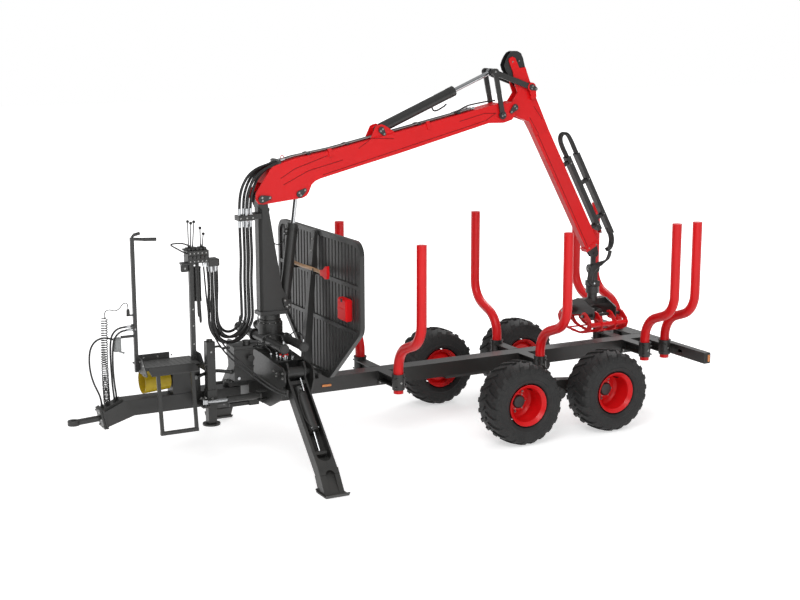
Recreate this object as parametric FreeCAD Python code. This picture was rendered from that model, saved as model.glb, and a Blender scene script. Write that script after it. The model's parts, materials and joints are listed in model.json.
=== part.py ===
import FreeCAD, Part
import math
import os

# Forestry trailer with a loading crane, in millimetres.
# +X runs from the towing eye to the tail, +Y to the trailer's right, +Z up.
# The origin is on the ground, under the middle of the trailer's length and width.

V = FreeCAD.Vector

# ---- overall ----
HALF_LENGTH = 3475.0
PIN_PLAY = 0.05          # radial clearance of a pin in its hole
REACH = 400.0            # longer than any hole is deep

# ---- wheels and bogies ----
BOGIE_X = 1600.0
AXLE_PITCH = 1106.0
TRACK = 1842.0
TYRE_R = 437.0
TYRE_W = 395.0
BEAD_R = 200.0
RIM_FLANGE_R = 221.0
RIM_SEAT_R = 196.0
RIM_HALF_W = 172.0
STUB_R = 45.0
BOGIE_Y = 590.0
CROSS_AXLE_R = 58.0

# ---- frame ----
BEAM_HALF_W = 94.0
BEAM_Z0, BEAM_Z1 = 580.0, 738.0
BEAM_X0, BEAM_X1 = -1235.0, 3345.0
WALL = 10.0
BUNK_X = (-140.0, 1600.0, 3010.0, 3290.0)
BUNK_HALF_W = 60.0
STAKE_R = 52.5
STAKE_FOOT_Y, STAKE_TOP_Y = 450.0, 950.0
STAKE_Z0, STAKE_Z1 = 570.0, 2190.0
STAKE_BEND_R = 275.0
TAIL_X0, TAIL_X1 = 3395.0, HALF_LENGTH
HEADBOARD_X = -820.0
BRACE_FOOT_X = -1045.0

# ---- crane base and legs ----
SLEW_X = -1370.0
FRAME_X0, FRAME_X1 = -1555.0, -1235.0
PLATE_T = 16.0
DECK_Z = 1105.0
LEG_PIN_Y, LEG_PIN_Z = 660.0, 985.0
LEG_PIN_R = 30.0
LEG_FOOT_Y = 1500.0
LEG_X0, LEG_X1 = -1490.0, -1294.0
LEG_DEPTH = 112.0

# ---- crane ----
BOOM_PIVOT = (-1470.0, 2630.0)
BOOM_LENGTH = 3039.0
BOOM_ANGLE = 15.5
STICK_ANGLE = -61.7
MAIN_PIN_R = 28.0
CYLINDER_PIN_R = 25.0
LINK_PIN_R = 22.0
TIP_PIN_R = 18.0
LIFT_FOOT = (-1212.0, 1535.0)
LIFT_LUG = (401.0, -83.0)
STICK_EAR = (1452.0, 250.0)
LINK_FOOT = (2863.0, -32.0)
LINK_TOP = (2893.0, 430.0)
STICK_PIN = (-85.0, 283.0)
TIP_PIN = (2014.0, 200.0)
HANGER_DROP = 375.0

# ---- grapple ----
JAW_PIN_Y = 195.0
JAW_PIN_DROP = 190.0     # below the rotator
JAW_PIN_R = 18.0

# ---- drawbar and what stands on it ----
DRAW_HALF_W = 90.0
DRAW_Z0, DRAW_Z1 = 600.0, 757.0
NOSE_SLOPE = 12.0
NOSE_HALF_H = 100.0
STEER_X = -1790.0
KING_PIN_R = 35.0
STEER_Y, STEER_Z = 300.0, 699.0
STEER_FOOT_X, STEER_HEAD_X = -1610.0, -2190.0
STEER_PIN_R = 13.0
EYE_Z = 580.0
EYE_HOLE_R = 25.0
EYE_R = 58.0
EYE_T = 44.0
JACK_X, JACK_Y = -2097.0, -200.0
DECK_PLATE_Z = 1140.0
POST_X, POST_Y = -2867.0, -300.0

# ---- hoses ----
MAIN_HOSE_R = 14.0
MAIN_PITCH = 54.0        # between two hoses of one row of the bundle
MAIN_ROW = 44.0          # between the two rows
MAIN_OUTLET = (-2130.0, -314.0)
MAIN_CLAMP = (-1630.0, -100.0)
MAIN_OUTLET_Z = 2050.0
MAIN_SPLIT_Z = 1500.0    # where the bundle passes from the drawbar's side to the column's
MAIN_LOW_Z = 1252.0
CLAMP_Z0, CLAMP_Z1 = 2440.0, 2490.0
SUCTION_HOSE_R = 17.0
FRONT_HOSE_R = 9.0
COIL_R = 34.0
LEAD_R = 4.5
LEG_HOSE_R = 8.0
LEVER_FEET = (-2316.0, -2296.0, -2276.0, -2196.0, -2180.0)
LIFT_HOSE_R = 6.0


# ---------------------------------------------------------------- shapes

def box(x0, x1, y0, y1, z0, z1):
    return Part.makeBox(x1 - x0, y1 - y0, z1 - z0, V(x0, y0, z0))


def rod(start, end, radius):
    start, end = V(*start), V(*end)
    run = end - start
    return Part.makeCylinder(radius, run.Length, start, run)


def prism(points, shift):
    """A flat outline pushed along the vector shift."""
    loop = [V(*p) for p in points]
    face = Part.Face(Part.makePolygon(loop + loop[:1]))
    return face.extrude(V(*shift))


def plate_x(outline, x0, x1):
    return prism([(x0, y, z) for y, z in outline], (x1 - x0, 0, 0))


def plate_y(outline, y0, y1):
    return prism([(x, y0, z) for x, z in outline], (0, y1 - y0, 0))


def plate_z(outline, z0, z1):
    return prism([(x, y, z0) for x, y in outline], (0, 0, z1 - z0))


def plate_pair(outline, inner, outer):
    """Two equal plates in the XZ plane, between the distances inner and outer from the middle."""
    return [plate_y(outline, inner, outer), plate_y(outline, -outer, -inner)]


def join(shapes):
    whole = shapes[0].multiFuse(shapes[1:]) if len(shapes) > 1 else shapes[0]
    return whole.removeSplitter()


def mirrored(shape):
    return shape.mirror(V(0, 0, 0), V(0, 1, 0))


def mirror_outline(half):
    """Completes an outline whose points run down the +Y side."""
    return half + [(-y, z) for y, z in reversed(half) if y > 0]


def route(points, radius, bends):
    """A round bar along straight runs joined by tangent arcs, one bend radius per inner point."""
    pts = [V(*p) for p in points]
    edges = []
    last = pts[0]
    for i, r in enumerate(bends, start=1):
        into = (pts[i] - pts[i - 1]).normalize()
        out = (pts[i + 1] - pts[i]).normalize()
        turn = into.getAngle(out)
        reach = r * math.tan(turn / 2)
        start, end = pts[i] - into * reach, pts[i] + out * reach
        inward = (out - into).normalize()
        middle = pts[i] + inward * (r / math.cos(turn / 2) - r)
        edges.append(Part.makeLine(last, start))
        edges.append(Part.Arc(start, middle, end).toShape())
        last = end
    edges.append(Part.makeLine(last, pts[-1]))
    spine = Part.Wire(edges)
    first = (pts[1] - pts[0]).normalize()
    ring = Part.Wire([Part.makeCircle(radius, pts[0], first)])
    return spine.makePipeShell([ring], True, False)


def beyond(points, share):
    """The point that carries a hose's last run on by a share of its length."""
    return tuple(b + (b - a) * share for a, b in zip(points[-2], points[-1]))


def cord(name, points, radius):
    """A free hose. Each arc is as large as its two runs allow."""
    pts = [V(*p) for p in points]
    bends = []
    for before, here, after in zip(pts, pts[1:], pts[2:]):
        into, out = here - before, after - here
        bends.append(0.45 * min(into.Length, out.Length) / math.tan(into.getAngle(out) / 2))
    tube = route(points, radius, bends)
    length = sum((b - a).Length for a, b in zip(pts, pts[1:]))
    ratio = tube.Volume / (math.pi * radius * radius * length)
    print("cord", name, "radii", [round(b) for b in bends], "length", round(length), "fill", round(ratio, 3))
    return tube


# ---------------------------------------------------------------- places on the crane

def boom_point(u, w):
    """u along the boom from its root pin to its tip pin, w above that line."""
    a = math.radians(BOOM_ANGLE)
    x0, z0 = BOOM_PIVOT
    return x0 + u * math.cos(a) - w * math.sin(a), z0 + u * math.sin(a) + w * math.cos(a)


def stick_point(s, n):
    """s down the stick from the boom's tip pin, n out from the boom."""
    a = math.radians(STICK_ANGLE)
    x0, z0 = boom_point(BOOM_LENGTH, 0)
    return x0 + s * math.cos(a) - n * math.sin(a), z0 + s * math.sin(a) + n * math.cos(a)


def boom_outline(points):
    return [boom_point(u, w) for u, w in points]


def stick_outline(points):
    return [stick_point(s, n) for s, n in points]


def pin_y(centre, y0, y1, radius):
    return rod((centre[0], y0, centre[1]), (centre[0], y1, centre[1]), radius)


def hole_y(centre, radius):
    return pin_y(centre, -REACH, REACH, radius)


def bar_outline(a, b, half):
    """The sides of a straight bar from a to b in the XZ plane."""
    length = math.hypot(b[0] - a[0], b[1] - a[1])
    nx, nz = (a[1] - b[1]) / length * half, (b[0] - a[0]) / length * half
    return [(a[0] + nx, a[1] + nz), (b[0] + nx, b[1] + nz), (b[0] - nx, b[1] - nz), (a[0] - nx, a[1] - nz)]


BOOM_TIP = boom_point(BOOM_LENGTH, 0)
LIFT_HEAD = boom_point(*LIFT_LUG)
STICK_FOOT = boom_point(*STICK_EAR)
LINK_LOW = boom_point(*LINK_FOOT)
LINK_HIGH = boom_point(*LINK_TOP)
FORK_PIN = stick_point(*STICK_PIN)
GRAPPLE_X, TIP_Z = stick_point(*TIP_PIN)
ROTATOR_Z1 = TIP_Z - HANGER_DROP
ROTATOR_Z0 = ROTATOR_Z1 - 108.0
JAW_PIN_Z = ROTATOR_Z0 - JAW_PIN_DROP


# ---------------------------------------------------------------- wheels

def wheel(x, side):
    """One tyre and its dished rim. side is -1 on the left and 1 on the right."""
    y = side * TRACK / 2
    half = TYRE_W / 2
    outer = [
        (BEAD_R, -141), (RIM_FLANGE_R + 1, -165), (RIM_FLANGE_R + 17, -183), (300, -half), (372, -half + 4),
        (412, -half + 26), (430, -half + 62), (TYRE_R, -40), (TYRE_R, 40), (430, half - 62), (412, half - 26),
        (372, half - 4), (300, half), (RIM_FLANGE_R + 17, 183), (RIM_FLANGE_R + 1, 165), (BEAD_R, 141),
    ]
    inner = [
        (BEAD_R, 112), (262, 156), (360, 172), (410, 110), (416, 0), (410, -110), (360, -172), (262, -156),
        (BEAD_R, -112),
    ]
    seat, face, flange = RIM_SEAT_R, RIM_HALF_W, RIM_FLANGE_R
    rim = [
        (STUB_R + PIN_PLAY, -150), (95, -150), (95, -112), (150, -112), (seat - 14, -84), (seat - 14, -face + 34),
        (flange - 6, -face), (flange, -face), (flange, -face + 6), (seat, -face + 34), (seat, face - 34),
        (flange, face - 6), (flange, face), (flange - 6, face), (seat - 14, face - 34), (seat - 14, -66),
        (150, -94), (95, -94), (95, -30), (STUB_R + PIN_PLAY, -30),
    ]

    def spin(outline):
        loop = [V(x + r, y + side * off, TYRE_R) for r, off in outline]
        section = Part.Face(Part.makePolygon(loop + loop[:1]))
        return section.revolve(V(x, y, TYRE_R), V(0, 1, 0), 360)

    return spin(outer + inner), spin(rim)


def bogie():
    """The right bogie beam with its two stub axles and its pivot boss."""
    front, rear = BOGIE_X - AXLE_PITCH / 2, BOGIE_X + AXLE_PITCH / 2
    z = TYRE_R
    side = [
        (front - 70, z - 65), (rear + 70, z - 65), (rear + 70, z + 50), (BOGIE_X + 150, z + 95),
        (BOGIE_X - 150, z + 95), (front - 70, z + 50),
    ]
    pieces = [plate_y(side, BOGIE_Y - 60, BOGIE_Y + 60)]
    for x in (front, rear):
        pieces.append(rod((x, BOGIE_Y, z), (x, TRACK / 2 - 52, z), STUB_R))
        pieces.append(rod((x, BOGIE_Y, z), (x, BOGIE_Y + 100, z), 80))
    body = join(pieces)
    body = body.cut(box(front - 58, rear + 58, BOGIE_Y - 50, BOGIE_Y + 50, z - 55, z + 38))
    boss = rod((BOGIE_X, BOGIE_Y - 92, z + 10), (BOGIE_X, BOGIE_Y + 72, z + 10), 80)
    body = join([body, boss])
    return body.cut(rod((BOGIE_X, 0, z + 10), (BOGIE_X, BOGIE_Y + 61, z + 10), CROSS_AXLE_R + 0.3))


# ---------------------------------------------------------------- frame

def main_beam():
    beam = box(BEAM_X0, BEAM_X1, -BEAM_HALF_W, BEAM_HALF_W, BEAM_Z0, BEAM_Z1)
    inside = box(BEAM_X0 + WALL, BEAM_X1 + WALL, -BEAM_HALF_W + WALL, BEAM_HALF_W - WALL, BEAM_Z0 + WALL,
                 BEAM_Z1 - WALL)
    return beam.cut(inside)


def bogie_axle():
    """The cross axle of the two bogies in its bolted saddle under the main beam."""
    z = TYRE_R + 10
    cheeks = [box(BOGIE_X - 140, BOGIE_X + 140, s * 100 - 10, s * 100 + 10, z - 75, BEAM_Z0) for s in (-1, 1)]
    top = box(BOGIE_X - 170, BOGIE_X + 170, -130, 130, BEAM_Z0 - 20, BEAM_Z0)
    axle = rod((BOGIE_X, -BOGIE_Y - 60, z), (BOGIE_X, BOGIE_Y + 60, z), CROSS_AXLE_R)
    collars = [rod((BOGIE_X, s * 470, z), (BOGIE_X, s * 497, z), 80) for s in (-1, 1)]
    return join([top, axle] + cheeks + collars)


def bunk_arm(x):
    """The right arm of a bunk, an I section with its stake socket."""
    y0, y1 = BEAM_HALF_W, STAKE_FOOT_Y + 62
    low, high = 634.0, BEAM_Z1 + 2
    arm = join([
        box(x - BUNK_HALF_W, x + BUNK_HALF_W, y0, y1, high - 12, high),
        box(x - BUNK_HALF_W, x + BUNK_HALF_W, y0, y1, low, low + 12),
        box(x - 6, x + 6, y0, y1, low + 12, high - 12),
        box(x - BUNK_HALF_W, x + BUNK_HALF_W, y0, y0 + 12, low - 40, high),
        rod((x, STAKE_FOOT_Y, 612), (x, STAKE_FOOT_Y, 775), 66),
    ])
    return arm.cut(rod((x, STAKE_FOOT_Y, 560), (x, STAKE_FOOT_Y, 800), STAKE_R))


def stake(x, side):
    """A bent tube: up from its socket, out over the tyre, and up again to a plugged top."""
    def tube(foot, top, radius):
        points = [
            (x, side * STAKE_FOOT_Y, foot), (x, side * STAKE_FOOT_Y, 1020),
            (x, side * STAKE_TOP_Y, 1200), (x, side * STAKE_TOP_Y, top),
        ]
        return route(points, radius, [STAKE_BEND_R, STAKE_BEND_R])
    return tube(STAKE_Z0, STAKE_Z1, STAKE_R - 0.5).cut(tube(STAKE_Z0 - 5, STAKE_Z1 - 8, STAKE_R - 7))


def tail_bar():
    """The tail bar: a channel across the rear, open to the front, on a short stem."""
    bar = box(TAIL_X0, TAIL_X1, -1030, 1030, 600, 722)
    hollow = box(TAIL_X0 + 8, TAIL_X1 - 8, -1018, 1018, 608, 714)
    stem = box(BEAM_X1, TAIL_X0 + 8, -BEAM_HALF_W, BEAM_HALF_W, 600, 722)
    slots = [box(TAIL_X0 - 5, TAIL_X0 + 20, s * 600 - 35, s * 600 + 35, 645, 680) for s in (-1, 1)]
    body = join([bar.cut(hollow), stem])
    for slot in slots:
        body = body.cut(slot)
    return body


def rounded(panel, radius):
    """A flat panel that stands across the trailer, with its corners rounded."""
    corners = [edge for edge in panel.Edges if abs(edge.Vertexes[0].X - edge.Vertexes[1].X) > 1]
    return panel.makeFillet(radius, corners)


def headboard():
    """A frame of square tube with upright slats, two rails and a post in the middle."""
    half = [(270, 770), (1010, 1380), (1010, 2272)]
    half_inside = [(252, 822), (962, 1405), (962, 2224)]
    outline = half + [(-y, z) for y, z in reversed(half)]
    inside = half_inside + [(-y, z) for y, z in reversed(half_inside)]
    x0, x1 = HEADBOARD_X - 24, HEADBOARD_X + 24
    panel = rounded(plate_x(outline, x0 - 60, x1), 140)
    ring = panel.common(box(x0, x1, -1100, 1100, 700, 2300))
    ring = ring.cut(rounded(plate_x(inside, x0 - 1, x1 + 1), 95))
    slats = [box(x0 + 16, x1 - 8, y - 24, y + 24, 772, 2268) for y in range(-912, 913, 76)]
    rails = [box(x0 + 2, x0 + 17, -1030, 1030, z - 20, z + 20) for z in (1365, 1818)]
    grid = [bar.common(panel) for bar in slats + rails]
    brace = plate_y([(x0 + 2, 2262), (x0 - 36, 2262), (BRACE_FOOT_X, BEAM_Z1), (BRACE_FOOT_X + 90, BEAM_Z1)], -36, 36)
    foot = box(x0 - 40, x1, -BEAM_HALF_W, BEAM_HALF_W, BEAM_Z1, 800)
    return join([ring, brace, foot] + grid)


# ---------------------------------------------------------------- crane base and legs

def crane_frame():
    """Two cross plates on a box, with the leg pins, the steering lugs and the nose that carries the drawbar."""
    half = [(0, 1105), (180, 1105), (735, 1062), (785, 1020), (790, 930), (700, 735), (400, 600), (0, 590)]
    outline = [(0, 1105)] + half[1:-1] + [(0, 590)] + [(-y, z) for y, z in reversed(half[1:-1])]
    plates = [plate_x(outline, x, x + PLATE_T) for x in (FRAME_X0, FRAME_X1 - PLATE_T)]
    core = box(FRAME_X0, FRAME_X1, -210, 210, 590, DECK_Z)
    core = core.cut(box(FRAME_X0 + 16, FRAME_X1 - 16, -198, 198, 580, DECK_Z - 20))
    pieces = plates + [core]
    for s in (-1, 1):
        pieces.append(box(FRAME_X0, FRAME_X1, s * 400 - 8, s * 400 + 8, 640, 1070))
        cover = [(s * 200, 1090), (s * 520, 1066), (s * 520, 1078), (s * 200, 1102)]
        pieces.append(plate_x(cover, FRAME_X0, FRAME_X1))
        pieces.append(rod((FRAME_X0 - 22, s * LEG_PIN_Y, LEG_PIN_Z), (FRAME_X1 + 22, s * LEG_PIN_Y, LEG_PIN_Z),
                          LEG_PIN_R))
        for z in (648, 735):
            pieces.append(box(FRAME_X0 - 90, FRAME_X0, s * STEER_Y - 30, s * STEER_Y + 30, z, z + 15))
        pieces.append(rod((STEER_FOOT_X, s * STEER_Y, 636), (STEER_FOOT_X, s * STEER_Y, 761), STEER_PIN_R))
    pieces.append(box(STEER_X + 130, FRAME_X0, -120, 120, 556, 806))
    for z in (556, 766):
        pieces.append(box(STEER_X - 70, STEER_X + 140, -95, 95, z, z + 36))
        pieces.append(rod((STEER_X, 0, z), (STEER_X, 0, z + 36), 95))
    pieces.append(rod((STEER_X, 0, 548), (STEER_X, 0, 816), KING_PIN_R))
    pieces.append(box(FRAME_X0 - 4, FRAME_X0 + PLATE_T, -842, -740, 800, 868))
    pieces += [rod(points[-1], beyond(points, 0.5), LEG_HOSE_R + 3) for points in LEG_ROUTES]
    return join(pieces)


def slew_housing():
    """The slewing drum and its two rack cylinders, one each side of the axis."""
    pieces = [
        rod((SLEW_X, 0, DECK_Z), (SLEW_X, 0, DECK_Z + 22), 152),
        rod((SLEW_X, 0, DECK_Z), (SLEW_X, 0, 1370), 126),
        rod((SLEW_X, 0, 1370), (SLEW_X, 0, 1398), 112),
    ]
    for x in (SLEW_X - 105, SLEW_X + 105):
        pieces.append(rod((x, -600, 1215), (x, 600, 1215), 43))
        for s in (-1, 1):
            pieces.append(rod((x, s * 575, 1215), (x, s * 612, 1215), 50))
            pieces.append(rod((x, s * 150, 1215), (x, s * 185, 1215), 60))
    return join(pieces)


def leg():
    """The right leg: ears on the swing pin, a box with a slot for its cylinder, and a shod foot."""
    dy, dz = LEG_FOOT_Y - (LEG_PIN_Y - 82), 50 - LEG_PIN_Z
    length = math.hypot(dy, dz)
    uy, uz = dy / length, dz / length

    def at(s, n):
        """s from the upper end of the leg's axis, n out from it."""
        return LEG_FOOT_Y - uy * (length - s) - uz * n, 50 - uz * (length - s) + uy * n

    def leg_plate(outline, x0, x1):
        return plate_x([at(s, n) for s, n in outline], x0, x1)

    h = LEG_DEPTH / 2
    low = length - 120
    shell = leg_plate([(60, -h), (low, -h), (low, h), (150, h)], LEG_X0, LEG_X1)
    hollow = leg_plate([(40, -h + 8), (low - 10, -h + 8), (low - 10, h - 8), (40, h - 8)], LEG_X0 + 8, LEG_X1 - 8)
    mid, half_slot, half_heel = (LEG_X0 + LEG_X1) / 2 + 6, 74, 46
    slot = leg_plate([(190, 0), (975, 0), (975, h + 10), (190, h + 10)], mid - half_slot, mid + half_slot)
    slot = slot.fuse(rod((mid, *at(975, 0)), (mid, *at(975, h + 10)), half_slot))
    heel = leg_plate([(1195, h - 42), (1400, h - 42), (1400, h + 140), (1195, h + 140)],
                     mid - half_heel, mid + half_heel)
    heel = heel.fuse(rod((mid, *at(1195, h - 42)), (mid, *at(1195, h + 140)), half_heel))
    ears = []
    for x0 in (LEG_X0, LEG_X1 - 20):
        ear = [(230, -h), (230, h), (120, h + 10), (70, h + 80), (-10, h + 90), (-40, h + 30), (0, -10), (60, -h)]
        ears.append(leg_plate(ear, x0, x0 + 20))
        ears.append(rod((x0, LEG_PIN_Y, LEG_PIN_Z), (x0 + 20, LEG_PIN_Y, LEG_PIN_Z), 62))
    ears.append(rod((LEG_X0, LEG_PIN_Y, LEG_PIN_Z), (LEG_X1, LEG_PIN_Y, LEG_PIN_Z), 56))
    body = join([shell.cut(hollow).cut(slot).cut(heel)] + ears)
    body = body.cut(rod((LEG_X0 - 5, LEG_PIN_Y, LEG_PIN_Z), (LEG_X1 + 5, LEG_PIN_Y, LEG_PIN_Z),
                        LEG_PIN_R + PIN_PLAY))
    ankle = plate_x([at(low - 60, -h - 6), at(low - 60, h + 6), (LEG_FOOT_Y + 60, 14), (LEG_FOOT_Y - 96, 14)],
                    LEG_X0 - 4, LEG_X1 + 4).cut(heel)
    shoe = [
        (LEG_FOOT_Y - 118, 26), (LEG_FOOT_Y - 92, 0), (LEG_FOOT_Y + 120, 0), (LEG_FOOT_Y + 150, 34),
        (LEG_FOOT_Y + 140, 40), (LEG_FOOT_Y + 112, 14), (LEG_FOOT_Y - 84, 14), (LEG_FOOT_Y - 110, 36),
    ]
    return join([body, ankle, plate_x(shoe, LEG_X0 - 22, LEG_X1 + 22)])


# ---------------------------------------------------------------- drawbar and what stands on it

def tilted_flange(ahead, half, thick):
    """A plate square to the drawbar's sloping nose, its middle ahead of the nose's end face by that distance."""
    slope = math.radians(NOSE_SLOPE)
    cx, cz = -3120.0 - ahead * math.cos(slope), 600.0 - ahead * math.sin(slope)
    dx, dz = -math.sin(slope), math.cos(slope)
    tx, tz = -math.cos(slope) * thick, -math.sin(slope) * thick
    low, high = (cx - dx * NOSE_HALF_H, cz - dz * NOSE_HALF_H), (cx + dx * NOSE_HALF_H, cz + dz * NOSE_HALF_H)
    return plate_y([low, high, (high[0] + tx, high[1] + tz), (low[0] + tx, low[1] + tz)], -half, half)


def drawbar():
    """The steered drawbar: a box on the king pin, bent down at the nose, with lugs for the steering rods."""
    outline = [
        (STEER_X + 50, DRAW_Z0), (STEER_X + 50, DRAW_Z1), (-2930, DRAW_Z1), (-3138, 668), (-3106, 518),
        (-2845, DRAW_Z0),
    ]
    bar = plate_y(outline, -DRAW_HALF_W, DRAW_HALF_W)
    room = [
        (STEER_X - 80, DRAW_Z0 + WALL), (STEER_X - 80, DRAW_Z1 - WALL), (-2930, DRAW_Z1 - WALL),
        (-3124, 664), (-3096, 532), (-2848, DRAW_Z0 + WALL),
    ]
    bar = bar.cut(plate_y(room, -DRAW_HALF_W + WALL, DRAW_HALF_W + WALL))
    side = plate_y(outline, DRAW_HALF_W - WALL, DRAW_HALF_W)
    lugs = [box(-2235, -2150, s * 222 - 138, s * 222 + 138, 655, 672) for s in (-1, 1)]
    gland = plate_y([(-3132, 668), (-3140, 692), (-2950, 772), (-2940, 750)], -50, 60)
    body = join([bar, side, tilted_flange(0, 96, 20), gland] + lugs)
    return body.cut(rod((STEER_X, 0, 500), (STEER_X, 0, 900), KING_PIN_R + PIN_PLAY))


def tow_eye():
    """The towing eye with its shank and bolted flange."""
    x = -HALF_LENGTH + EYE_R
    ring = rod((x, 0, EYE_Z - EYE_T / 2), (x, 0, EYE_Z + EYE_T / 2), EYE_R)
    shank = rod((x + 30, 0, EYE_Z), (-3150, 0, EYE_Z + 14), 30)
    eye = join([ring, shank, tilted_flange(20, 84, 20)])
    return eye.cut(rod((x, 0, EYE_Z - EYE_T), (x, 0, EYE_Z + EYE_T), EYE_HOLE_R))


def jack():
    """The jack's outer tube with its bracket, and the inner tube with the round foot."""
    def square(half, z0, z1):
        return box(JACK_X - half, JACK_X + half, JACK_Y - half, JACK_Y + half, z0, z1)
    outer = join([
        square(43, 462, 1281), square(50, 620, 800),
        box(JACK_X - 45, JACK_X + 45, JACK_Y + 43, -DRAW_HALF_W, 640, 740),
    ])
    outer = outer.cut(square(36, 400, 1272))
    inner = join([square(35, 452, 1262), rod((JACK_X, JACK_Y, 438), (JACK_X, JACK_Y, 456), 88)])
    return outer, inner


def platform():
    """The operator's deck: end plates, toe board, front lip, hanging step, handle post and control post."""
    top = DECK_PLATE_Z
    deck = box(-2850, -2275, -430, -110, top - 12, top)
    lip = plate_x([(-425, top), (-555, top - 45), (-555, top - 57), (-430, top - 12)], -2800, -2330)
    ends = [
        plate_x([(-560, top - 40), (-430, top + 85), (-290, top + 85), (-290, top - 60), (-540, top - 60)],
                x, x + 8) for x in (-2850, -2275)
    ]
    toe = box(-2800, -2480, -118, -110, top - 12, top + 62)
    beam = box(-2850, -2275, -300, -250, top - 62, top - 12)
    bars = [
        plate_x([(-545, top - 46), (-522, top - 46), (-596, 540), (-622, 540)], x, x + 34) for x in (-2752, -2412)
    ]
    rung = box(-2752, -2378, -626, -590, 520, 552)
    x, y = POST_X, POST_Y
    grips = [
        rod((x, y, 2362), (x + 107, y - 10, 2352), 15), rod((x + 107, y - 10, 2352), (x + 227, y - 30, 2348), 17),
        rod((x, y, 2375), (x + 17, y, 2398), 12), rod((x + 17, y, 2398), (x + 77, y, 2412), 15),
    ]
    posts = [
        box(x - 17, x + 17, y - 17, y + 17, top - 55, 2375),
        box(-2319, -2275, y - 22, y + 22, top, 2075),
    ]
    return join([deck, lip, toe, beam, rung] + ends + bars + posts + grips)


def pump():
    """The oil pump's gearbox plate on the drawbar, carrying the deck."""
    return join([
        box(-2444, -2160, -85, -65, DRAW_Z1, 1078), box(-2444, -2424, -85, 85, DRAW_Z1, 1078),
        box(-2400, -2200, -65, 70, 800, 1010), rod((-2460, 0, 905), (-2380, 0, 905), 60),
        box(-2444, -2160, -300, 85, 1066, 1078), rod((-2226, -84, 916), (-2226, -138, 916), 23),
        rod((-2226, -118, 916), (-2204, -118, 916), 20),
    ])


def pto_guard():
    """The open bell that covers the drive shaft's coupling."""
    outline = [(0, 113), (250, 92), (262, 92), (262, 62), (268, 62), (268, 98), (0, 119)]
    loop = [V(-2730 + d, r, 905) for d, r in outline]
    section = Part.Face(Part.makePolygon(loop + loop[:1]))
    return section.revolve(V(-2730, 0, 905), V(1, 0, 0), 360)


def valve_block():
    """The valve bank on the control post: its body, spool ends, levers with knobs, and the outlet manifold."""
    pieces = [
        box(-2345, -2135, -370, -235, 2092, 2215), box(-2400, -2260, -345, -255, 2075, 2100),
        box(-2140, -2030, -372, -245, MAIN_OUTLET_Z, 2122),
    ]
    tips = [(-2342, -372, 2500), (-2300, -340, 2478), (-2262, -320, 2486), (-2195, -300, 2420), (-2160, -290, 2360)]
    for i, tip in enumerate(tips):
        x = -2325 + i * 40
        pieces.append(rod((x, -385, 2150), (x, -220, 2150), 17))
        pieces.append(box(x - 15, x + 15, -350, -255, 2215, 2240))
        pieces.append(rod((LEVER_FEET[i], -302, 2230), tip, 5))
        pieces.append(Part.makeSphere(15, V(*tip)))
    return join(pieces)


def steering_cylinder(y):
    """The barrel on the crane frame's lugs, and its rod that reaches to the drawbar's lug."""
    def along(outline):
        loop = [V(STEER_FOOT_X - d, y + r, STEER_Z) for d, r in outline]
        return Part.Face(Part.makePolygon(loop + loop[:1])).revolve(V(0, y, STEER_Z), V(1, 0, 0), 360)

    def eye(x, radius):
        return rod((x, y, 674), (x, y, 724), radius)
    barrel = along([(22, 0), (22, 33), (350, 33), (350, 16.4), (325, 16.4), (325, 26), (50, 26), (50, 0)])
    barrel = join([barrel, eye(STEER_FOOT_X, 27)]).cut(eye(STEER_FOOT_X, STEER_PIN_R + PIN_PLAY))
    bar = along([(190, 0), (190, 25.6), (215, 25.6), (215, 16), (580, 16), (580, 0)])
    bar = join([bar, eye(STEER_HEAD_X, 27)]).cut(eye(STEER_HEAD_X, 15))
    return barrel, bar


# ---------------------------------------------------------------- crane

def column():
    """The crane's column: a hollow tower on the slewing neck, with cheeks for the lift cylinder's foot."""
    foot = box(-1504, -1212, -84, 84, 1450, 1490)
    neck = rod((SLEW_X, 0, 1400), (SLEW_X, 0, 1450), 102)
    face = [
        (-1462, 1490), (-1200, 1490), (-1170, 1505), (-1160, 1560), (-1200, 1600), (-1262, 1720), (-1400, 2580),
        (-1412, 2650), (-1440, 2685), (-1480, 2690), (-1507, 2660), (-1508, 2600), (-1500, 2560), (-1462, 2520),
    ]
    sides = plate_pair(face, 63, 75)
    front = box(-1494, -1482, -48, 48, 1490, 2560)
    corner = [(-1462, -75), (-1494, -48), (-1494, -36), (-1482, -36), (-1462, -63)]
    corners = [plate_z([(x, s * y) for x, y in corner], 1490, 2545) for s in (-1, 1)]
    back = plate_y([(-1345, 1490), (-1333, 1490), (-1315, 1720), (-1388, 2510), (-1400, 2510), (-1327, 1720)],
                   -63, 63)
    top = plate_y([(-1500, 2540), (-1405, 2540), (-1412, 2600), (-1440, 2670), (-1480, 2675), (-1497, 2640)],
                  -55, 55)
    cap = plate_y([(-1462, 2500), (-1388, 2500), (-1405, 2545), (-1462, 2545)], -63, 63)
    clamp = join([
        box(-1755, -1588, -190, -72, CLAMP_Z0, CLAMP_Z1), box(-1600, -1486, -118, 30, CLAMP_Z0, CLAMP_Z1),
    ])
    outlet = box(-1394, -1356, -10, 10, 2496, 2524)
    body = join([foot, neck, front, back, top, cap, clamp, outlet] + sides + corners)
    return join([body, pin_y(BOOM_PIVOT, -100, 100, MAIN_PIN_R), pin_y(LIFT_FOOT, -92, 92, CYLINDER_PIN_R)])


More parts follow.
